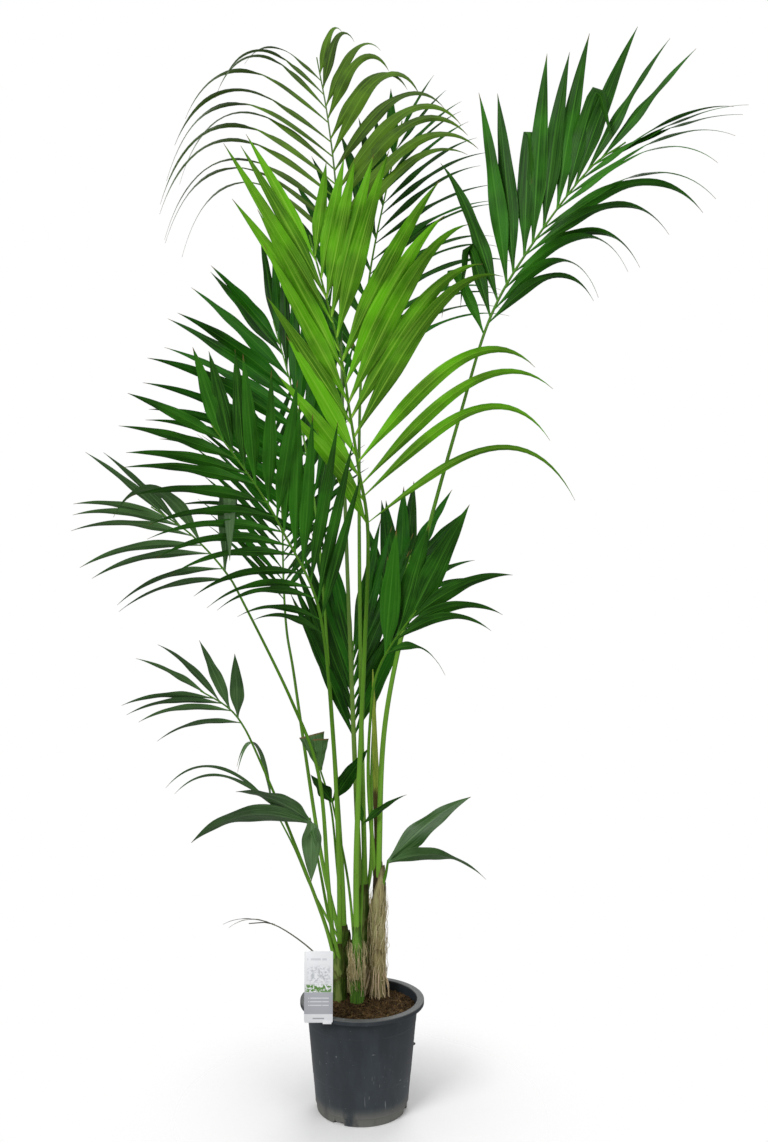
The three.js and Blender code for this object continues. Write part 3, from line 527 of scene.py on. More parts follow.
def leaflet_row(frond, path, side, seed, sizes):
    """All the leaflets of one side of a frond, as [leaflet, row, column, xyz], and their growth.

    At the share s of its length a leaflet falls by droop s^power, and its width lies along
    level cos t + (heading x level) sin t, where t falls from the root's twist.
    """
    row = frond.left if side < 0 else frond.right
    index = np.arange(row.leaflets)
    wobble = 0.25 * jitter(index + 7 * side, seed)
    share = (index + 0.5 + 0.25 * side + wobble) / row.leaflets if row.leaflets > 1 else 0.5 + wobble
    root = frond.blade + (LAST_ROOT - frond.blade) * share
    tilt, bend, size = (jitter(index * 3 + k + side, seed) for k in (1, 2, 3))
    angle = np.radians(along(share, row.angle) + SWERVE * tilt)[:, None]
    lift = np.radians(row.lift + SWERVE * bend)[:, None]
    aim, level, twist = leaflet_aims(frond, path, root, side, angle, lift)
    length = along(share, row.length) * (1 + 0.06 * size) * MM
    width = along(share, row.width) * MM

    s = np.linspace(0, 1, ROWS)
    fall = (along(share, row.droop) * (1 + 0.15 * bend))[:, None] * s**row.power
    for number, where, drop in row.bent:
        fall[number] += drop * smooth(s, where, where + FOLD_SPAN)
    line, heading = leaflet_lines(path.at(root), aim, length, fall)
    sway = jitter(index * 5 + 2, seed + side)
    turn = twist[:, None] * (1 - row.flat * smooth(s, 0, 0.6))
    turn = turn + 0.22 * sway[:, None] * smooth(s, 0.1, 0.9)
    flat_out = np.cross(heading, level[:, None])
    wide = level[:, None] * np.cos(turn)[..., None] + flat_out * np.sin(turn)[..., None]
    out = np.cross(heading, wide)
    swell = 0.12 + 0.88 * s if row.cut else leaflet_swell(s)
    half = np.maximum(width[:, None] / 2 * swell, THINNEST)
    line = line + wide * (0.018 * sway[:, None] * length[:, None] * s**2)[..., None]

    height = leaflet_height(half, s, TURN * jitter(index + 11, seed)[:, None, None], sizes)
    u = ACROSS[None, None]
    grid = (line[:, :, None] + wide[:, :, None] * (half[..., None] * u)[..., None]
            + out[:, :, None] * height[..., None])
    tone = jitter(index * 2 + 5, seed + side)[:, None, None]
    growth = np.stack(np.broadcast_arrays(u, s[None, :, None], tone), -1)
    return grid, growth, np.broadcast_to(FACING < 0, height.shape).astype(float)


def frond_piece(frond, seed, sizes):
    """A frond: its stalk and midrib as one tapering tube, and its rows of leaflets."""
    path = Path(frond.stations)
    skin = Skin()
    shares = np.linspace(0, 1, max(12, int(path.length / STALK_STEP)))
    radius = along(shares, frond.radius) * MM * sizes.stalk_girth
    grid, growth = carried(path, shares, radius, 14, frond.across, groove=0.25)
    skin.add(grid, growth + [0, 0, jitter(3, seed)], finish=1)
    stalk = {"dry_leaf": "dry_stalk", "olive_leaf": "olive_stalk"}.get(frond.slot, "green_stalk")
    if frond.left:
        for side in (-1, 1):
            skin.add(*leaflet_row(frond, path, side, seed, sizes))
    else:
        stalk = "spear_stalk"
    skin.piece(f"{frond.name}_grown", [frond.look or frond.slot, stalk], [frond.name])


def core_radius(stem, share):
    """A stem's radius: the straight taper times 1 + 0.06 cos 9s."""
    return along(share, stem.radius) * MM * (1 + 0.06 * np.cos(share * 9))


def stem_core(stem, seed):
    """The stem itself: a round section carried from foot to top, with fine ribs round it."""
    middle = list((np.array(stem.foot) + stem.top) / 2)
    path = Path([stem.foot, middle, stem.top])
    shares, sides = np.linspace(0, 1, 70), 48
    radius = core_radius(stem, shares) * (1 - 0.12 * smooth(shares, 0.93, 1) ** 2)
    grid, growth = carried(path, shares, radius, sides, [1, 0, 0])
    angles = np.arange(sides) / sides * TURN
    middle = path.at(shares)[:, None]
    ribs = 1 + 0.025 * np.sin(angles * 11 + seed) * np.sin(shares[:, None] * 7 + seed)
    ribs = ribs + 0.02 * rough(grid[0] * [1, 1, 0.15], 4 * MM, seed)
    return (middle + (grid[0] - middle) * ribs[..., None])[None], growth


def leaf_base(stem, wrap, number, seed):
    """An old leaf base: a ring in angle whose section climbs outside and comes back inside.

    Its mouth is higher on one side, top + slant cos(angle - side), and opens a little there.
    """
    foot, top = np.array(stem.foot) * MM, np.array(stem.top) * MM
    low = wrap.low * MM
    sides, rows = 64, 12
    a = np.arange(sides)[:, None] / sides * TURN
    lobe = np.cos(a - np.radians(wrap.side))
    mouth = (wrap.high + wrap.slant * lobe - 0.6 * wrap.slant * np.clip(-lobe, 0, 1) ** 8) * MM
    mouth = mouth + 2.2 * MM * jitter(np.arange(sides)[:, None] // 2, seed + number)
    climb = np.concatenate([np.linspace(0, 1, rows), np.linspace(1, 0, rows)])[None]
    outer = np.concatenate([np.ones(rows), np.zeros(rows)])[None]
    z = low + (mouth - low) * climb
    share = (z - foot[2]) / (top[2] - foot[2])
    crease = 0.5 * MM * np.sin(a * 9 + 3 * number) + 0.35 * MM * np.sin(a * 23 + 8 * share)
    open_out = (0.7 + 1.6 * np.clip(lobe, 0, 1)) * MM * smooth(climb, 0.75, 1)
    wide = (core_radius(stem, share) + wrap.stand * MM + outer * 0.7 * MM
            + crease * (0.4 + 0.6 * climb) + open_out)
    centre = foot + (top - foot) * share[..., None]
    ring = centre + np.stack([wide * np.cos(a), wide * np.sin(a), 0 * wide], -1)
    ring[..., 2] = z
    growth = np.stack(np.broadcast_arrays(a / TURN, climb, z * 0 + number), -1)
    return ring[None], growth[None]


def stem_piece(stem, seed):
    """A stem: its ribbed core and, round it, old leaf bases with slanting, open mouths."""
    skin = Skin()
    skin.add(*stem_core(stem, seed))
    for number, wrap in enumerate(stem.wraps):
        ring, growth = leaf_base(stem, wrap, number, seed)
        skin.add(ring, growth, finish=1 if wrap.dry else 0, ring=True)
    skin.piece(f"{stem.name}_sheaths", [stem.bark, "dry_sheath"], [stem.name])


def wall_radius(z):
    """The radius of the pot's outer wall: a straight taper from its foot to its mouth."""
    low = POT_BASE + 1.5 * MM
    return low + (POT_NECK - low) * (z - POT_FOOT) / (POT_HEIGHT - POT_FOOT)


def pot_outline():
    """Half the pot's outline as [radius, z], from the floor out, up the wall, over the lip and in.

    The wall is straight, with two faint steps in it, each 0.35 mm over a height of 1 mm.
    """
    height, rim, base, foot = POT_HEIGHT, RIM_RADIUS, POT_BASE, POT_FOOT
    wall, skirt = 1.8 * MM, 7 * MM
    mouth = wall_radius(height)
    low, high = WALL_STEPS
    climb = np.concatenate([
        np.linspace(foot + 0.4 * MM, (low - 0.5) * MM, 5), np.linspace(low * MM, (low + 1) * MM, 4),
        np.linspace((low + 2) * MM, (high - 0.5) * MM, 6), np.linspace(high * MM, (high + 1) * MM, 4),
        np.linspace((high + 2) * MM, height - wall - 1.5 * MM, 4)])
    steps = sum(smooth(climb, k * MM, (k + 1) * MM) for k in WALL_STEPS)
    curl, bend = 1.3 * MM, np.linspace(0, np.pi / 2, 5)
    lip_out = np.stack([rim - curl + curl * np.cos(bend), height - curl + curl * np.sin(bend)], -1)
    lip_in = np.stack([mouth - wall + curl - curl * np.sin(bend),
                       height - curl + curl * np.cos(bend)], -1)
    return np.vstack([
        [[8 * MM, 1.2 * MM], [base - 12 * MM, 1.2 * MM], [base - 10 * MM, 0], [base - 2.2 * MM, 0],
         [base - 1.5 * MM, 0.7 * MM], [base - 0.1 * MM, foot - 1.8 * MM],
         [base + 0.4 * MM, foot - 1.2 * MM], [base + 1.4 * MM, foot - 0.3 * MM]],
        np.stack([wall_radius(climb) + 0.35 * MM * (steps - 1), climb], -1),
        [[mouth + 0.8 * MM, height - wall], [rim - wall - 0.4 * MM, height - wall],
         [rim - wall, height - wall - 0.5 * MM], [rim - wall, height - skirt + 0.3 * MM],
         [rim - wall + 0.3 * MM, height - skirt], [rim - 0.3 * MM, height - skirt],
         [rim, height - skirt + 0.4 * MM]],
        lip_out, lip_in,
        [[mouth - wall, height - 5 * MM], [wall_radius(SOIL_TOP) - wall, SOIL_TOP - 12 * MM],
         [base - 3 * MM, 4 * MM], [base - 6 * MM, 2.5 * MM], [8 * MM, 2.5 * MM]],
    ])


def pot_piece():
    """The pot: its outline turned about Z, with drain notches in its foot and a small nub.

    Near a notch's middle angle the outline's foot points rise to the notch's height, along a
    steep smooth step in the distance round the foot.
    """
    outline = pot_outline()
    sides = 240
    angle = np.arange(sides) / sides * TURN
    radius = np.broadcast_to(outline[:, :1], (len(outline), len(angle)))
    z = np.broadcast_to(outline[:, 1:], radius.shape)
    notch = sum(1 - smooth(np.abs((angle - np.radians(k - 90) + np.pi) % TURN - np.pi) * POT_BASE,
                           8.9 * MM, 9.7 * MM) for k in NOTCHES)
    foot_points = (np.arange(len(outline)) < 6)[:, None] & (radius > POT_BASE - 11 * MM)
    z = np.where(foot_points, np.maximum(z, NOTCH_HEIGHT * notch[None]), z)
    skin = Skin()
    skin.add(np.stack([radius * np.cos(angle), radius * np.sin(angle), z], -1)[None])
    wall = wall_radius(NUB_HEIGHT * MM) / MM
    nub = Path([[wall + out, 0, NUB_HEIGHT] for out in (-1, 1.2, 3.2)])
    shares = np.linspace(0, 1, 8)
    dome = np.sqrt(np.maximum(0.02, 1 - shares**3)) * 2.4 * MM
    skin.add(*carried(nub, shares, dome, 16, [0, 1, 0]))
    skin.piece("nursery_pot", ["pot_plastic"], ["pot"], sharp=0.6)


def mound(share):
    """The height of the peat without its lumps, at a share of its radius."""
    return SOIL_TOP - 7 * MM + 5 * MM * (1 - share**2)


def soil_piece():
    """The peat: a disc whose top is a low mound with lumps of three sizes, closed below.

    Height = edge + mound (1 - r^2) + the sum of rough lumps 24, 9 and 4 mm across. The last
    three rows run down its wall and in under it.
    """
    share = np.concatenate([np.linspace(0.012, 1, 74), [0.995, 0.85, 0.8]])
    sides = 220
    angle = np.arange(sides) / sides * TURN
    radius = share[:, None] * PEAT_RADIUS * np.ones(sides)
    flat = np.stack([radius * np.cos(angle), radius * np.sin(angle)], -1)
    lumps = (1.5 * rough(flat, 24 * MM, 3) + 1.0 * rough(flat, 9 * MM, 4)
             + 0.6 * rough(flat, 4 * MM, 5)) * MM
    z = mound(share[:, None]) + lumps
    z[-2:] = np.array([[30 * MM], [5 * MM]])
    z[-3] = z[-4] - 6 * MM
    skin = Skin()
    skin.add(np.concatenate([flat, z[..., None]], -1)[None])
    skin.piece("peat_bed", ["peat"], ["soil"], sharp=1.2)


def strewn(pick, many, edge):
    """Random places spread evenly over the peat, as distances and angles, clear of the rim."""
    return np.sqrt(pick.uniform(0, 1, many)) * (RIM_RADIUS - edge), pick.uniform(0, TURN, many)


def on_peat(reach, turn, rise):
    """Points at polar places on the mound, raised a little."""
    middle = np.stack([reach * np.cos(turn), reach * np.sin(turn)], -1)
    height = mound(np.linalg.norm(middle, axis=-1) / PEAT_RADIUS) + rise
    return np.concatenate([middle, height[:, None]], -1)[:, None, None]


def toned(pick, grid, share=0.0):
    """Growth for loose bits: a share along them and a random tone for each."""
    tone = pick.uniform(-1, 1, (len(grid), 1, 1))
    parts = np.broadcast_arrays(0.0, share, tone, np.zeros(grid.shape[:3]))
    return np.stack(parts[:3], -1)


def peat_lumps(pick, many):
    """Small lumps: coarse balls, radius 0.8 + 0.35 sin of their own phases, squashed and turned."""
    reach, turn = strewn(pick, many, 17 * MM)
    size = pick.uniform(0.9, 3.4, many) ** 1.2 * MM
    polar = np.linspace(0.35, np.pi - 0.35, 4)[:, None]
    around = (np.arange(6) / 6 * TURN)[None]
    ball = np.stack(np.broadcast_arrays(np.sin(polar) * np.cos(around), np.sin(polar) * np.sin(around),
                                        np.cos(polar)), -1)
    phase = pick.uniform(0, TURN, (many, 1, 1))
    bump = 0.8 + 0.35 * np.sin(ball[None] @ np.array([3.1, 4.3, 2.2]) + phase)
    squash = pick.uniform(0.5, 1.2, (many, 1, 1, 3))
    grid = ball[None] * bump[..., None] * squash * size[:, None, None, None]
    spin = pick.uniform(0, TURN, (many, 1, 1))
    x, y, z = np.moveaxis(grid, -1, 0)
    grid = np.stack([x * np.cos(spin) - y * np.sin(spin), x * np.sin(spin) + y * np.cos(spin), z], -1)
    return grid + on_peat(reach, turn, 0.9 * MM), toned(pick, grid)


def bark_slivers(pick, many):
    """Thin slivers: flat sections along a short, slightly bowed line that leans a little."""
    reach, turn = strewn(pick, many, 24 * MM)
    lean = pick.uniform(-0.25, 0.45, many)
    heading = pick.uniform(0, TURN, many)
    length = (pick.uniform(4, 15, many) * MM)[:, None, None, None]
    girth = (pick.uniform(0.3, 0.9, many) * MM)[:, None, None, None]
    axis = np.stack([np.cos(heading) * np.cos(lean), np.sin(heading) * np.cos(lean), np.sin(lean)], -1)
    side = np.stack([-np.sin(heading), np.cos(heading), 0 * heading], -1)
    rise = np.cross(axis, side)[:, None, None]
    t = np.linspace(-0.5, 0.5, 5)[None, :, None, None]
    a = (np.arange(5) / 5 * TURN)[None, None, :, None]
    thin = 1 - 1.6 * np.abs(t) ** 2
    grid = (axis[:, None, None] * (length * t)
            + (side[:, None, None] * np.cos(a) * 1.5 + rise * np.sin(a) * 0.6) * girth * thin
            + rise * (length * 0.25 * (t**2)))
    return grid + on_peat(reach, turn, 1.6 * MM), toned(pick, grid)


def crumb_piece(sizes):
    """Loose peat: small lumps and thin bark slivers, strewn at random over the mound."""
    pick = np.random.default_rng(11)
    skin = Skin()
    skin.add(*peat_lumps(pick, sizes.crumb_count))
    skin.add(*bark_slivers(pick, sizes.sliver_count), finish=1)
    skin.piece("peat_crumbs", ["peat", "bark"])


def strands(skin, starts, ends, bow, girth, pick, rows=14):
    """Thin fibres on start + t (end - start) + bow sin(pi t), crimped at random."""
    count = len(starts)
    t = np.linspace(0, 1, rows)[None, :, None]
    crimp = pick.normal(size=(count, 1, 3)) * np.sin(t * 9 + pick.uniform(0, TURN, (count, 1, 1)))
    line = starts[:, None] + (ends - starts)[:, None] * t + bow[:, None] * np.sin(np.pi * t)
    line = line + crimp * 0.9 * MM * np.sin(np.pi * t)
    forward = unit(np.gradient(line, axis=1))
    across = square_to(np.array([0.3, -0.9, 0.2]), forward)
    up = np.cross(across, forward)
    a = (np.arange(5) / 5 * TURN)[None, None, :, None]
    thin = (girth[:, None, None] * (1 - 0.7 * t**2))[..., None]
    grid = line[:, :, None] + thin * (across[:, :, None] * np.cos(a) + up[:, :, None] * np.sin(a))
    skin.add(grid, toned(pick, grid, t))


def spokes(angle):
    """Level unit vectors at angles."""
    return np.stack([np.cos(angle), np.sin(angle), 0 * angle], -1)


def on_bark(stem, angle, z, stand):
    """Points round a stem at angles and heights, standing off its straight taper."""
    foot, top = np.array(stem.foot, float), np.array(stem.top, float)
    s = ((z - foot[2]) / (top[2] - foot[2]))[:, None]
    radius = stem.radius[0] + (stem.radius[1] - stem.radius[0]) * s + stand[:, None]
    return (foot + (top - foot) * s + spokes(angle) * radius) * MM


def fibre_piece(sizes):
    """Loose fibres of the old leaf bases, hugging the right-hand and the front stems."""
    pick = np.random.default_rng(23)
    skin = Skin()
    for name, low, high, share in (("stem_right", 180, 352, 0.65), ("stem_front", 176, 268, 0.35)):
        stem, count = STEM[name], int(sizes.fibre_count * share)
        a, step = pick.uniform(0, TURN, count), pick.normal(0, 0.5, count)
        start = pick.uniform(low, high - 30, count)
        end = np.minimum(start + pick.uniform(18, 70, count), high)
        bow = spokes(a) * pick.uniform(0, 6, count)[:, None] * MM
        strands(skin, on_bark(stem, a, start, np.full(count, 2.2)),
                on_bark(stem, a + step, end, pick.uniform(1.5, 8, count)),
                bow, pick.uniform(0.22, 0.6, count) * MM, pick)
    skin.piece("sheath_fibres", ["fibre"])


def rootlet_piece():
    """Pale aerial rootlets that come off the right-hand stem low down and turn into the peat."""
    pick = np.random.default_rng(31)
    skin = Skin()
    spoke = spokes(np.radians(pick.uniform(170, 330, ROOTLETS)))
    foot = np.array([*STEM["stem_right"].foot[:2], 0.0]) * MM
    start = foot + spoke * 12.2 * MM + UP * pick.uniform(186, 232, ROOTLETS)[:, None] * MM
    end = foot + spoke * pick.uniform(16, 30, ROOTLETS)[:, None] * MM
    end[:, 2] = SOIL_TOP - 8 * MM
    bow = spoke * pick.uniform(1, 5, ROOTLETS)[:, None] * MM
    strands(skin, start, end, bow, pick.uniform(0.7, 1.3, ROOTLETS) * MM, pick, rows=20)
    skin.piece("stem_rootlets", ["rootlet"])


def label_card():
    """The label's card: a rectangle with quarter-circle corners, bowed a little and leaning back.

    Its four rows are that outline, the first and last drawn in by the edge's rounding.
    """
    width, height, lean, corner = 46 * MM, 110 * MM, 0.05, 2.5 * MM
    left, front, low = LABEL_LOW.x, LABEL_FRONT * MM, LABEL_HIGH.z - height * np.cos(lean)
    a = np.arange(48) / 48 * TURN + TURN / 96
    rim = np.stack([np.cos(a), np.sin(a)], -1)
    box = np.sign(rim) * (np.array([width, height]) / 2 - corner)
    drawn = np.array([0.25, 0, 0, 0.25])[:, None, None] * MM
    depth = np.array([0, 0.2, 0.6, 0.8]) * MM
    face = box[None] + rim[None] * (corner - drawn)
    up = face[..., 1] + height / 2
    out = depth[:, None] - 1.4 * MM * (face[..., 0] / width * 2) ** 2
    grid = np.stack([face[..., 0] + left + width / 2,
                     front + up * np.sin(lean) - out * np.cos(lean),
                     low + up * np.cos(lean) + out * np.sin(lean)], -1)
    growth = np.stack([face[..., 0] / width + 0.5, up / height, out * 0], -1)
    return grid[None], growth[None]


def label_tongue():
    """The label's tongue: a flat section carried up, over the rim and down into the peat."""
    x, y, z = -54, LABEL_FRONT, 172
    path = Path([[x, y + back, z + rise] for back, rise in (
        (0.6, -2), (1.2, 3.5), (5, 6.6), (20, 6.6), (33, 6.4), (37, 2), (37.6, -12), (37.6, -37))])
    shares = np.linspace(0, 1, 60)
    side = np.array([1.0, 0, 0])
    normal = np.cross(path.heading(shares), side)
    u = np.array([-1, -0.97, 0.97, 1, 1, 0.97, -0.97, -1]) * 7 * MM
    v = np.array([0.25, 0.4, 0.4, 0.25, -0.25, -0.4, -0.4, -0.25]) * MM
    return (path.at(shares)[:, None] + side * u[:, None] + normal[:, None] * v[:, None])[None]


def label_piece():
    """The label: its thin card and the tongue that hooks over the rim."""
    skin = Skin()
    skin.add(*label_card())
    skin.add(label_tongue(), np.array([0.5, 1, 0]))
    skin.piece("label_card_bent", ["label_card"], ["plant_label"])


# Finishes


class Wire:
    """A node's output. + - * / with another output or a number add the Math node for it."""

    def __init__(self, tree, socket):
        self.tree, self.socket = tree, socket

    def _math(self, operation, one, two):
        return self.tree.node("ShaderNodeMath", {"operation": operation}, {0: one, 1: two})

    def __add__(self, other):
        return self._math("ADD", self, other)

    def __sub__(self, other):
        return self._math("SUBTRACT", self, other)

    def __rsub__(self, other):
        return self._math("SUBTRACT", other, self)

    def __mul__(self, other):
        return self._math("MULTIPLY", self, other)

    __radd__ = __add__


class Finish:
    """A material's node tree, with its Principled BSDF."""

    def __init__(self, name, **fixed):
        self.material = bpy.data.materials.new(f"{name}_finish")
        self.material.use_nodes = True
        self.nodes, self.links = self.material.node_tree.nodes, self.material.node_tree.links
        self.shader = self.nodes["Principled BSDF"]
        for socket, value in fixed.items():
            self.shader.inputs[socket.replace("_", " ")].default_value = value

    def node(self, kind, settings=None, sockets=None, output=0):
        """A node of a type: its settings first, then the values or links of its sockets."""
        made = self.nodes.new(kind)
        for key, value in (settings or {}).items():
            setattr(made, key, value)
        for key, value in (sockets or {}).items():
            if isinstance(value, Wire):
                self.links.new(value.socket, made.inputs[key])
            else:
                made.inputs[key].default_value = value
        return Wire(self, made.outputs[output])

    def growth(self):
        """Across, along and tone of the mesh's own attribute."""
        vector = self.node("ShaderNodeAttribute", {"attribute_name": "growth"}, output=1)
        return [self.node("ShaderNodeSeparateXYZ", None, {0: vector}, output=k) for k in range(3)]

    def under(self):
        """1 on the lower side of a leaflet."""
        return self.node("ShaderNodeAttribute", {"attribute_name": "under"}, output=2)

    def place(self, scale=(1, 1, 1)):
        """Object coordinates in metres, multiplied by scale."""
        spot = self.node("ShaderNodeTexCoord", output=3)
        return self.node("ShaderNodeVectorMath", {"operation": "MULTIPLY"}, {0: spot, 1: scale})

    def height(self):
        """The height above the ground, in metres."""
        return self.node("ShaderNodeSeparateXYZ", None, {0: self.place()}, output=2)

    def join(self, x, y, z):
        return self.node("ShaderNodeCombineXYZ", None, {0: x, 1: y, 2: z})

    def noise(self, vector, scale, detail=3.0, rough=0.55):
        return self.node("ShaderNodeTexNoise", None,
                         {"Vector": vector, "Scale": scale, "Detail": detail, "Roughness": rough})

    def step(self, value, low, high):
        """0 at low, 1 at high, and a smooth climb between them."""
        return self.node("ShaderNodeMapRange", {"interpolation_type": "SMOOTHSTEP", "clamp": True},
                         {"Value": value, "From Min": low, "From Max": high})

    def magnitude(self, value):
        """A value without its sign."""
        return self.node("ShaderNodeMath", {"operation": "ABSOLUTE"}, {0: value})

    def mix(self, factor, one, two):
        """Colour one where factor is 0 and two where it is 1."""
        one, two = (c if isinstance(c, Wire) else (*c, 1) for c in (one, two))
        return self.node("ShaderNodeMix", {"data_type": "RGBA"}, {0: factor, 6: one, 7: two}, 2)

    def layers(self, body, *coats):
        """A colour with coats on it, each given as (where it is 1, its colour)."""
        for mask, colour in coats:
            body = self.mix(mask, body, colour)
        return body

    def bump(self, height, strength, distance):
        return self.node("ShaderNodeBump", None,
                         {"Height": height, "Strength": strength, "Distance": distance})

    def paint(self, colour, roughness, normal):
        """Links what varies to the shader."""
        self.links.new(colour.socket, self.shader.inputs["Base Color"])
        self.links.new(roughness.socket, self.shader.inputs["Roughness"])
        self.links.new(normal.socket, self.shader.inputs["Normal"])


def shade(colour, amount):
    """A colour multiplied by amount."""
    return tuple(min(1.0, c * amount) for c in colour)


def leaf_finish(name, colour, pale, dark, gloss=0.4, sheen=0.14):
    """A leaflet: long fine veins, a pale midvein, uneven tone, a dull underside and dry tips."""
    f = Finish(name, Specular_IOR_Level=sheen)
    across, along_it, tone = f.growth()
    patch = f.noise(f.place(), 16.0, 2.0)
    veins = f.noise(f.join(across * 9.0, along_it * 1.6, tone * 13.0), 1.6, 3.0, 0.6)
    fine = f.noise(f.join(across * 34.0, along_it * 2.4, tone * 7.0), 1.5, 2.0)
    midvein = 1 - f.step(f.magnitude(across), 0.03, 0.1)
    foot = 1 - f.step(along_it, 0.0, 0.07)
    worn = f.noise(f.join(across * 2.0, along_it * 7.0, tone * 31.0), 2.0, 3.0)
    tip = f.step(along_it + worn * 0.09 + tone * 0.02, 1.0, 1.04)
    body = f.layers(
        dark,
        (f.step(patch + tone * 0.22, 0.3, 0.75), colour),
        (f.step(veins, 0.42, 0.72) * 0.55, pale),
        (f.step(fine, 0.55, 0.75) * 0.3, shade(dark, 0.7)),
        (f.under() * 0.35, shade(pale, 0.85)),
        (midvein * (0.6 - along_it * 0.45), shade(pale, 1.1)),
        (foot * 0.7, shade(pale, 1.1)),
        (tip * 0.9, (0.17, 0.10, 0.035)))
    roughness = gloss + veins * 0.12 + patch * 0.12 + tip * 0.2
    f.paint(body, roughness, f.bump(veins + fine * 0.5, 0.35, 0.0006))


def stalk_finish(name, colour, pale, dark, brown=None):
    """A stalk: long streaks, paler towards the foot, with small brown scars.

    If brown is given, the stalk is brown up to that share of its length, as in an old sheath.
    """
    f = Finish(name, Specular_IOR_Level=0.2)
    across, along_it, tone = f.growth()
    streak = f.noise(f.join(across * 11.0, along_it * 9.0, tone * 9.0), 1.8, 3.0)
    scar = f.noise(f.place((300, 300, 90)), 1.0, 2.0)
    body = f.layers(
        dark,
        (f.step(streak, 0.35, 0.7), colour),
        ((1 - f.step(along_it, 0.05, 0.55)) * 0.6, pale),
        (f.step(scar, 0.66, 0.74) * 0.6, (0.09, 0.06, 0.02)))
    if brown:
        old = 1 - f.step(along_it + streak * 0.06, brown, brown + 0.05)
        body = f.mix(old * 0.92, body, f.mix(streak, (0.02, 0.012, 0.006), (0.12, 0.06, 0.025)))
    f.paint(body, 0.36 + streak * 0.2, f.bump(streak, 0.3, 0.0006))


def sheath_finish(name, colour, pale, dark, char=None):
    """A leaf base: fibres along it, cracked brown patches and a worn edge.

    If char is given, it is nearly black above that height.
    """
    f = Finish(name, Specular_IOR_Level=0.15)
    _, along_it, tone = f.growth()
    fibre = f.noise(f.place((900, 900, 34)), 1.0, 4.0, 0.65)
    patch = f.noise(f.place((70, 70, 22)), 1.0, 3.0)
    thread = f.noise(f.place((2200, 2200, 60)), 1.0, 2.0)
    body = f.layers(
        dark,
        (f.step(fibre, 0.35, 0.68), colour),
        (f.step(patch, 0.48, 0.66) * 0.7, pale),
        (f.step(thread, 0.55, 0.7) * 0.4, shade(dark, 0.6)))
    if char:
        top = f.step(f.height() + patch * 0.05, char, char + 0.03)
        body = f.mix(top * 0.88, body, (0.022, 0.012, 0.006))
    edge = f.step(along_it, 0.9, 1.0) * f.step(tone, -0.5, 0.0)
    body = f.mix(edge * 0.6, body, (0.06, 0.035, 0.015))
    f.paint(body, 0.62 + fibre * 0.25, f.bump(fibre + thread * 0.6, 0.7, 0.0012))


def pot_finish(colour):
    """Moulded plastic: fine grain, dust streaks, scratches, scuffs, a dirty foot and a paler band along
    the top of the rim.
    """
    f = Finish("pot_plastic", Specular_IOR_Level=0.3)
    grain = f.noise(f.place(), 900.0, 2.0)
    dust = f.noise(f.place((30, 30, 9)), 1.0, 4.0, 0.6)
    speck = f.noise(f.place(), 420.0, 1.0)
    scuff = f.noise(f.place((60, 60, 260)), 1.0, 2.0)
    score = f.noise(f.place((420, 420, 16)), 1.0, 1.0)
    z = f.height()
    foot = (1 - f.step(z, 0.008, 0.032)) * f.step(dust, 0.3, 0.5)
    rim = f.step(z, POT_HEIGHT - 0.0016, POT_HEIGHT - 0.0004)
    scratches = f.step(score, 0.71, 0.75) * f.step(dust, 0.48, 0.56) * (1 - f.step(z, 0.07, 0.12))
    scuffs = f.step(scuff, 0.7, 0.76) * f.step(dust, 0.5, 0.62) + f.step(speck, 0.76, 0.8) * 0.6
    soil = f.step(z, POT_HEIGHT - 0.01, POT_HEIGHT - 0.004) * f.step(speck, 0.62, 0.68)
    body = f.layers(
        shade(colour, 0.85),
        (f.step(dust, 0.35, 0.75), shade(colour, 1.35)),
        (foot * 0.6, (0.20, 0.195, 0.17)),
        (rim * (0.3 + dust * 0.4), (0.15, 0.155, 0.15)),
        (scratches * 0.4, (0.30, 0.31, 0.31)),
        (scuffs * 0.5, (0.42, 0.43, 0.43)),
        (soil * 0.5, (0.06, 0.035, 0.02)))
    f.paint(body, 0.42 + dust * 0.24 + foot * 0.2, f.bump(grain + dust * 2.0, 0.25, 0.0003))


def peat_finish(name, colour, pale):
    """Peat or bark: dark and reddish grains with a few pale fibres."""
    f = Finish(name, Specular_IOR_Level=0.25)
    _, _, tone = f.growth()
    grain = f.noise(f.place(), 260.0, 5.0, 0.7)
    clod = f.noise(f.place(), 60.0, 3.0)
    fibre = f.noise(f.place((700, 120, 400)), 1.0, 3.0)
    body = f.layers(
        shade(colour, 0.4),
        (f.step(grain + tone * 0.12, 0.35, 0.68), colour),
        (f.step(clod, 0.5, 0.7) * 0.6, shade(colour, 1.7)),
        (f.step(fibre + tone * 0.05, 0.66, 0.72) * 0.7, pale))
    f.paint(body, 0.86 + grain * 0.14, f.bump(grain + clod, 0.9, 0.003))


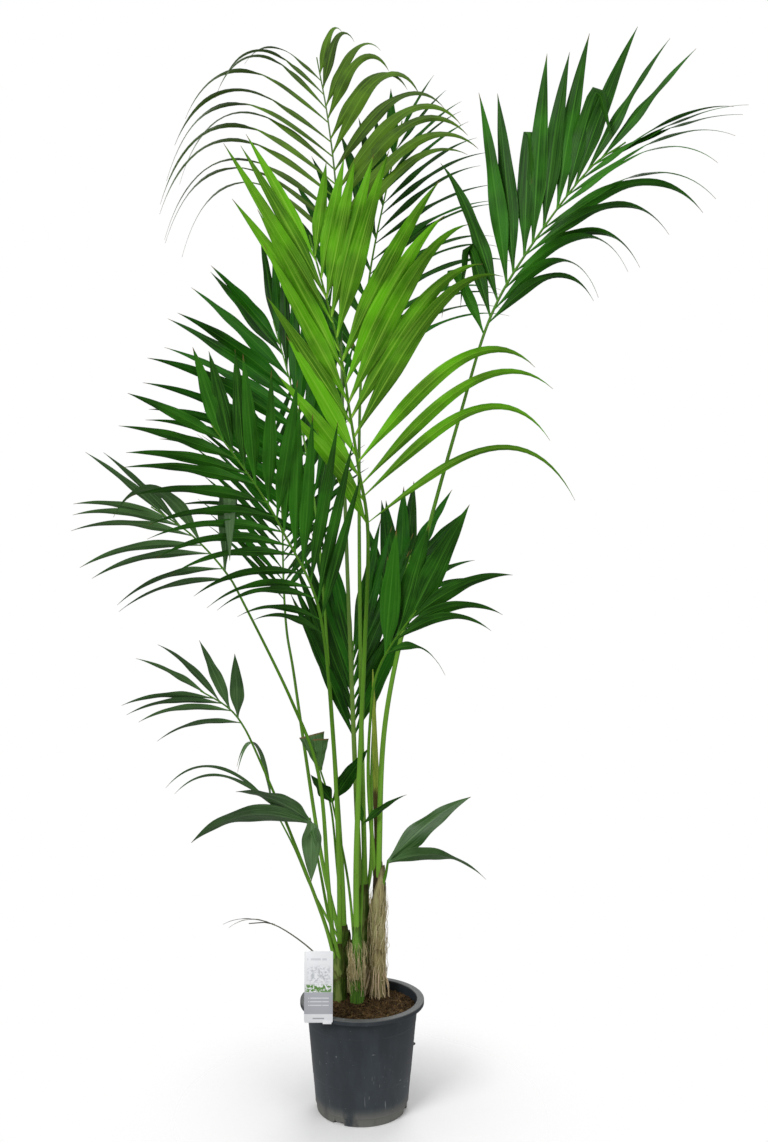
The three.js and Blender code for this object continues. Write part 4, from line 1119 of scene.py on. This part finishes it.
def label_finish():
    """A white card: a cloud, a band of green blots, a grey field with pale bars, two short bars."""
    f = Finish("label_card", Specular_IOR_Level=0.5, Coat_Weight=0.25, Coat_Roughness=0.2)
    x, y, _ = f.growth()

    def bar(value, low, high, soft=0.004):
        """1 from low to high, with soft edges."""
        return f.step(value, low - soft, low + soft) * (1 - f.step(value, high - soft, high + soft))

    paper = f.noise(f.place(), 240.0, 2.0)
    blots = f.noise(f.join(x * 6.0, y * 16.0, 0.0), 1.4, 3.0, 0.65)
    dashes = f.noise(f.join(x * 9.0, y * 1.0, 3.0), 1.0, 0.0)
    lines = sum((bar(y, k, k + 0.014, 0.003) for k in (0.235, 0.285, 0.335)), 0.0)
    body = f.layers(
        (0.82, 0.83, 0.85),
        (paper * 0.4, (0.74, 0.75, 0.78)),
        (bar(y, 0.56, 0.78, 0.05) * bar(x, 0.12, 0.9, 0.1) * f.step(blots, 0.42, 0.6) * 0.75,
         (0.40, 0.42, 0.45)),
        (bar(y, 0.42, 0.53, 0.02) * bar(x, 0.04, 0.95, 0.05) * f.step(blots, 0.44, 0.5),
         (0.10, 0.24, 0.04)),
        (bar(y, 0.12, 0.42), (0.42, 0.43, 0.47)),
        (lines * bar(x, 0.14, 0.86) * f.step(dashes, 0.36, 0.44) * 0.8, (0.78, 0.79, 0.82)),
        (bar(y, 0.05, 0.068, 0.003) * bar(x, 0.3, 0.7) * 0.7, (0.2, 0.2, 0.22)),
        (bar(y, 0.87, 0.9) * bar(x, 0.1, 0.78) * f.step(dashes, 0.4, 0.48) * 0.5,
         (0.45, 0.46, 0.5)))
    f.paint(body, 0.3 + paper * 0.15, f.bump(paper, 0.1, 0.0002))


def fibre_finish(name, colour, dark):
    """Thin dry strands whose tone differs from one to the next."""
    f = Finish(name, Specular_IOR_Level=0.3)
    _, _, tone = f.growth()
    grain = f.noise(f.place(), 400.0, 2.0)
    body = f.mix(f.step(grain + tone * 0.3, 0.25, 0.75), dark, colour)
    f.paint(body, 0.7 + grain * 0.2, f.bump(grain, 0.4, 0.0004))


# Panel, properties and operators


def colour_property(name, description, default):
    """A colour that the user can change."""
    return FloatVectorProperty(name=name, description=description, subtype="COLOR", size=3,
                               min=0.0, max=1.0, default=default)


class PalmSizes(bpy.types.PropertyGroup):
    """Sizes and counts of the fine detail."""

    stalk_girth: FloatProperty(
        name="Stalk girth", description="Factor on the stalks' thickness", default=1.35, min=0.5, max=2.0)
    leaf_thickness: FloatProperty(
        name="Leaf thickness", description="Half the thickness of a leaflet", unit="LENGTH",
        default=0.0004, min=0.0001, max=0.002)
    edge_wave: FloatProperty(
        name="Edge wave", description="How far a leaflet's edges wave up and down", unit="LENGTH",
        default=0.0022, min=0.0, max=0.01)
    crumb_count: IntProperty(
        name="Peat lumps", description="Number of loose lumps on the peat", default=1500, min=0)
    sliver_count: IntProperty(
        name="Bark slivers", description="Number of thin slivers on the peat", default=420, min=0)
    fibre_count: IntProperty(
        name="Sheath fibres", description="Number of loose fibres round the stems", default=340, min=10)


class PalmColours(bpy.types.PropertyGroup):
    """The plain colours that the finishes start from."""

    leaf: colour_property("Leaf", "Grown leaflets", (0.022, 0.142, 0.004))
    # Painted shade: the darker green of the leaflets at the back and inside the crown, which stand in
    # shade.
    painted_shade_green: colour_property("Deep leaf", "Old, shaded leaflets", (0.008, 0.088, 0.0015))
    fresh: colour_property("Fresh leaf", "Young leaflets", (0.12, 0.45, 0.003))
    olive: colour_property("Olive leaf", "Topmost leaflets", (0.058, 0.135, 0.002))
    dry: colour_property("Dry leaf", "Withered leaf", (0.17, 0.19, 0.12))
    stalk: colour_property("Stalk", "Stalks and midribs", (0.11, 0.31, 0.012))
    sheath: colour_property("Green sheath", "Living leaf bases", (0.09, 0.175, 0.018))
    straw: colour_property("Dry sheath", "Dead leaf bases", (0.56, 0.49, 0.23))
    pot: colour_property("Pot", "Pot plastic", (0.028, 0.035, 0.042))
    peat: colour_property("Peat", "Damp peat", (0.082, 0.046, 0.015))


class PalmStage(bpy.types.PropertyGroup):
    """Camera and lights."""

    lens: FloatProperty(name="Lens", description="Focal length of the camera", unit="CAMERA",
                        default=30.3, min=10.0, max=200.0)
    key_power: FloatProperty(name="Key light", description="Power of the front left light",
                             unit="POWER", default=92.0, min=0.0)
    fill_power: FloatProperty(name="Fill light", description="Power of the front right light",
                              unit="POWER", default=26.0, min=0.0)
    sky: FloatProperty(name="Surround", description="Strength of the white surround",
                       default=0.36, min=0.0)


class PALM_OT_finishes(bpy.types.Operator):
    """Make every material"""

    bl_idname = "palm.finishes"
    bl_label = "Finishes"

    def execute(self, context):
        c = context.scene.palm_colours
        leaf_finish("leaf", tuple(c.leaf), (0.07, 0.25, 0.02), shade(c.leaf, 0.34))
        # Painted shade: a darker copy of the leaf finish for the leaflets at the back and inside the
        # crown.
        leaf_finish("deep_leaf", tuple(c.painted_shade_green), (0.045, 0.17, 0.012), shade(c.painted_shade_green, 0.25), 0.36, 0.09)
        leaf_finish("low_leaf", (0.05, 0.135, 0.028), (0.13, 0.25, 0.09), (0.02, 0.07, 0.01), 0.34, 0.35)
        leaf_finish("fresh_leaf", tuple(c.fresh), (0.32, 0.60, 0.06), shade(c.fresh, 0.36), 0.42)
        leaf_finish("olive_leaf", tuple(c.olive), (0.11, 0.24, 0.012), shade(c.olive, 0.3))
        leaf_finish("dry_leaf", tuple(c.dry), (0.30, 0.31, 0.22), shade(c.dry, 0.35), 0.7)
        stalk_finish("green_stalk", tuple(c.stalk), (0.22, 0.46, 0.05), shade(c.stalk, 0.4))
        stalk_finish("olive_stalk", (0.10, 0.20, 0.03), (0.2, 0.36, 0.05), (0.03, 0.07, 0.015))
        stalk_finish("spear_stalk", (0.34, 0.42, 0.05), (0.42, 0.46, 0.08), (0.16, 0.26, 0.03), 0.42)
        stalk_finish("dry_stalk", tuple(c.dry), (0.42, 0.38, 0.29), shade(c.dry, 0.4))
        sheath_finish("green_sheath", tuple(c.sheath), (0.26, 0.33, 0.09), shade(c.sheath, 0.35))
        sheath_finish("fresh_sheath", (0.11, 0.26, 0.025), (0.17, 0.36, 0.05), (0.035, 0.10, 0.012))
        sheath_finish("dark_sheath", (0.36, 0.31, 0.13), (0.22, 0.27, 0.07), (0.10, 0.075, 0.03), 0.34)
        sheath_finish("dry_sheath", tuple(c.straw), (0.50, 0.52, 0.24), shade(c.straw, 0.42))
        pot_finish(tuple(c.pot))
        peat_finish("peat", tuple(c.peat), (0.22, 0.15, 0.08))
        peat_finish("bark", (0.16, 0.10, 0.035), (0.38, 0.31, 0.18))
        label_finish()
        fibre_finish("fibre", (0.66, 0.58, 0.34), (0.34, 0.27, 0.12))
        fibre_finish("rootlet", (0.62, 0.50, 0.32), (0.34, 0.25, 0.14))
        return {"FINISHED"}


class PALM_OT_pot(bpy.types.Operator):
    """Make the nursery pot"""

    bl_idname = "palm.pot"
    bl_label = "Pot"

    def execute(self, context):
        pot_piece()
        return {"FINISHED"}


class PALM_OT_peat(bpy.types.Operator):
    """Make the peat, its loose crumbs and its bark slivers"""

    bl_idname = "palm.peat"
    bl_label = "Peat"

    def execute(self, context):
        soil_piece()
        crumb_piece(context.scene.palm_sizes)
        return {"FINISHED"}


class PALM_OT_label(bpy.types.Operator):
    """Make the plain label at the rim"""

    bl_idname = "palm.label"
    bl_label = "Label"

    def execute(self, context):
        label_piece()
        return {"FINISHED"}


class PALM_OT_stems(bpy.types.Operator):
    """Make the five stems with their leaf bases, loose fibres and rootlets"""

    bl_idname = "palm.stems"
    bl_label = "Stems"

    def execute(self, context):
        for seed, stem in enumerate(STEMS):
            stem_piece(stem, seed + 1)
        fibre_piece(context.scene.palm_sizes)
        rootlet_piece()
        return {"FINISHED"}


class PALM_OT_fronds(bpy.types.Operator):
    """Make all the fronds and small leaves"""

    bl_idname = "palm.fronds"
    bl_label = "Fronds"

    def execute(self, context):
        for seed, frond in enumerate(FRONDS):
            frond_piece(frond, seed + 1, context.scene.palm_sizes)
        return {"FINISHED"}


def lamp(name, place, aim, power, size):
    """A square area light at a place, pointed at aim."""
    data = bpy.data.lights.new(name, "AREA")
    data.energy, data.size = power, size
    made = bpy.data.objects.new(name, data)
    made.location = place
    made.rotation_euler = (Vector(aim) - Vector(place)).to_track_quat("-Z", "Y").to_euler()
    bpy.context.scene.collection.objects.link(made)


def white_floor():
    """A pale disc that thins out to the white surround 0.42 m from the middle."""
    f = Finish("floor_white", Roughness=0.9, Specular_IOR_Level=0.1, Base_Color=(0.93, 0.93, 0.93, 1))
    reach = f.node("ShaderNodeVectorMath", {"operation": "LENGTH"}, {0: f.place((1, 1, 0))}, output=1)
    f.links.new((1 - f.step(reach, 0.09, 0.42)).socket, f.shader.inputs["Alpha"])
    angle = np.arange(96) / 96 * TURN
    rim = np.stack([FLOOR_RADIUS * np.cos(angle), FLOOR_RADIUS * np.sin(angle), 0 * angle - 0.4 * MM], -1)
    mesh = bpy.data.meshes.new("floor")
    mesh.from_pydata(rim.tolist(), [], [list(range(len(rim)))])
    mesh.materials.append(f.material)
    floor = bpy.data.objects.new("floor", mesh)
    bpy.context.scene.collection.objects.link(floor)


def white_surround(strength):
    """A surround that the camera sees as pure white and that lights with the given strength."""
    world = bpy.data.worlds.new("surround")
    bpy.context.scene.world = world
    world.use_nodes = True
    nodes, links = world.node_tree.nodes, world.node_tree.links
    sight = nodes.new("ShaderNodeLightPath")
    lift = nodes.new("ShaderNodeMapRange")
    lift.inputs["To Min"].default_value = strength
    lift.inputs["To Max"].default_value = 1.0
    links.new(sight.outputs["Is Camera Ray"], lift.inputs["Value"])
    back = nodes["Background"]
    back.inputs["Color"].default_value = (1, 1, 1, 1)
    links.new(lift.outputs["Result"], back.inputs["Strength"])


def front_camera(lens):
    """The camera: in front of the plant, a little above the pot, looking slightly up."""
    camera = bpy.data.cameras.new("camera")
    camera.lens = lens
    camera.sensor_width = 36
    eye = bpy.data.objects.new("camera", camera)
    eye.location = (0.037, -1.68, 0.785)
    eye.rotation_euler = (np.radians(94), 0, 0)
    bpy.context.scene.collection.objects.link(eye)
    bpy.context.scene.camera = eye


class PALM_OT_stage(bpy.types.Operator):
    """Make the floor, the white surround, the lights and the camera"""

    bl_idname = "palm.stage"
    bl_label = "Stage"

    def execute(self, context):
        stage = context.scene.palm_stage
        white_floor()
        white_surround(stage.sky)
        lamp("key", (-1.9, -2.6, 2.7), (0, 0, 1.0), stage.key_power, 1.6)
        lamp("fill", (2.4, -2.2, 1.4), (0, 0, 0.9), stage.fill_power, 1.8)
        lamp("back_light", (0.6, 2.8, 2.2), (0, 0, 1.0), stage.fill_power * 1.6, 2.0)
        lamp("crown_light", (0.3, -0.6, 3.6), (0, 0, 1.2), stage.fill_power * 0.8, 1.6)
        context.scene.view_settings.view_transform = "Standard"
        front_camera(stage.lens)
        return {"FINISHED"}


class PALM_PT_panel(bpy.types.Panel):
    """The palm's operators, sizes, colours and stage"""

    bl_label = "Potted Palm"
    bl_idname = "PALM_PT_panel"
    bl_space_type = "VIEW_3D"
    bl_region_type = "UI"
    bl_category = "Palm"

    def draw(self, context):
        for operator in OPERATORS:
            self.layout.operator(operator.bl_idname)
        for group in ("palm_sizes", "palm_colours", "palm_stage"):
            values = getattr(context.scene, group)
            for key in values.bl_rna.properties.keys():
                if key not in ("rna_type", "name"):
                    self.layout.prop(values, key)


OPERATORS = (PALM_OT_finishes, PALM_OT_pot, PALM_OT_peat, PALM_OT_label, PALM_OT_stems,
             PALM_OT_fronds, PALM_OT_stage)
CLASSES = (PalmSizes, PalmColours, PalmStage, *OPERATORS, PALM_PT_panel)


def register():
    for cls in CLASSES:
        bpy.utils.register_class(cls)
    bpy.types.Scene.palm_sizes = PointerProperty(type=PalmSizes)
    bpy.types.Scene.palm_colours = PointerProperty(type=PalmColours)
    bpy.types.Scene.palm_stage = PointerProperty(type=PalmStage)


def unregister():
    for group in ("palm_sizes", "palm_colours", "palm_stage"):
        delattr(bpy.types.Scene, group)
    for cls in reversed(CLASSES):
        bpy.utils.unregister_class(cls)


def main():
    """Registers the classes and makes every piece."""
    register()
    bpy.ops.palm.finishes()
    bpy.ops.palm.pot()
    bpy.ops.palm.peat()
    bpy.ops.palm.label()
    bpy.ops.palm.stems()
    bpy.ops.palm.fronds()
    bpy.ops.palm.stage()


if __name__ == "__main__":
    main()
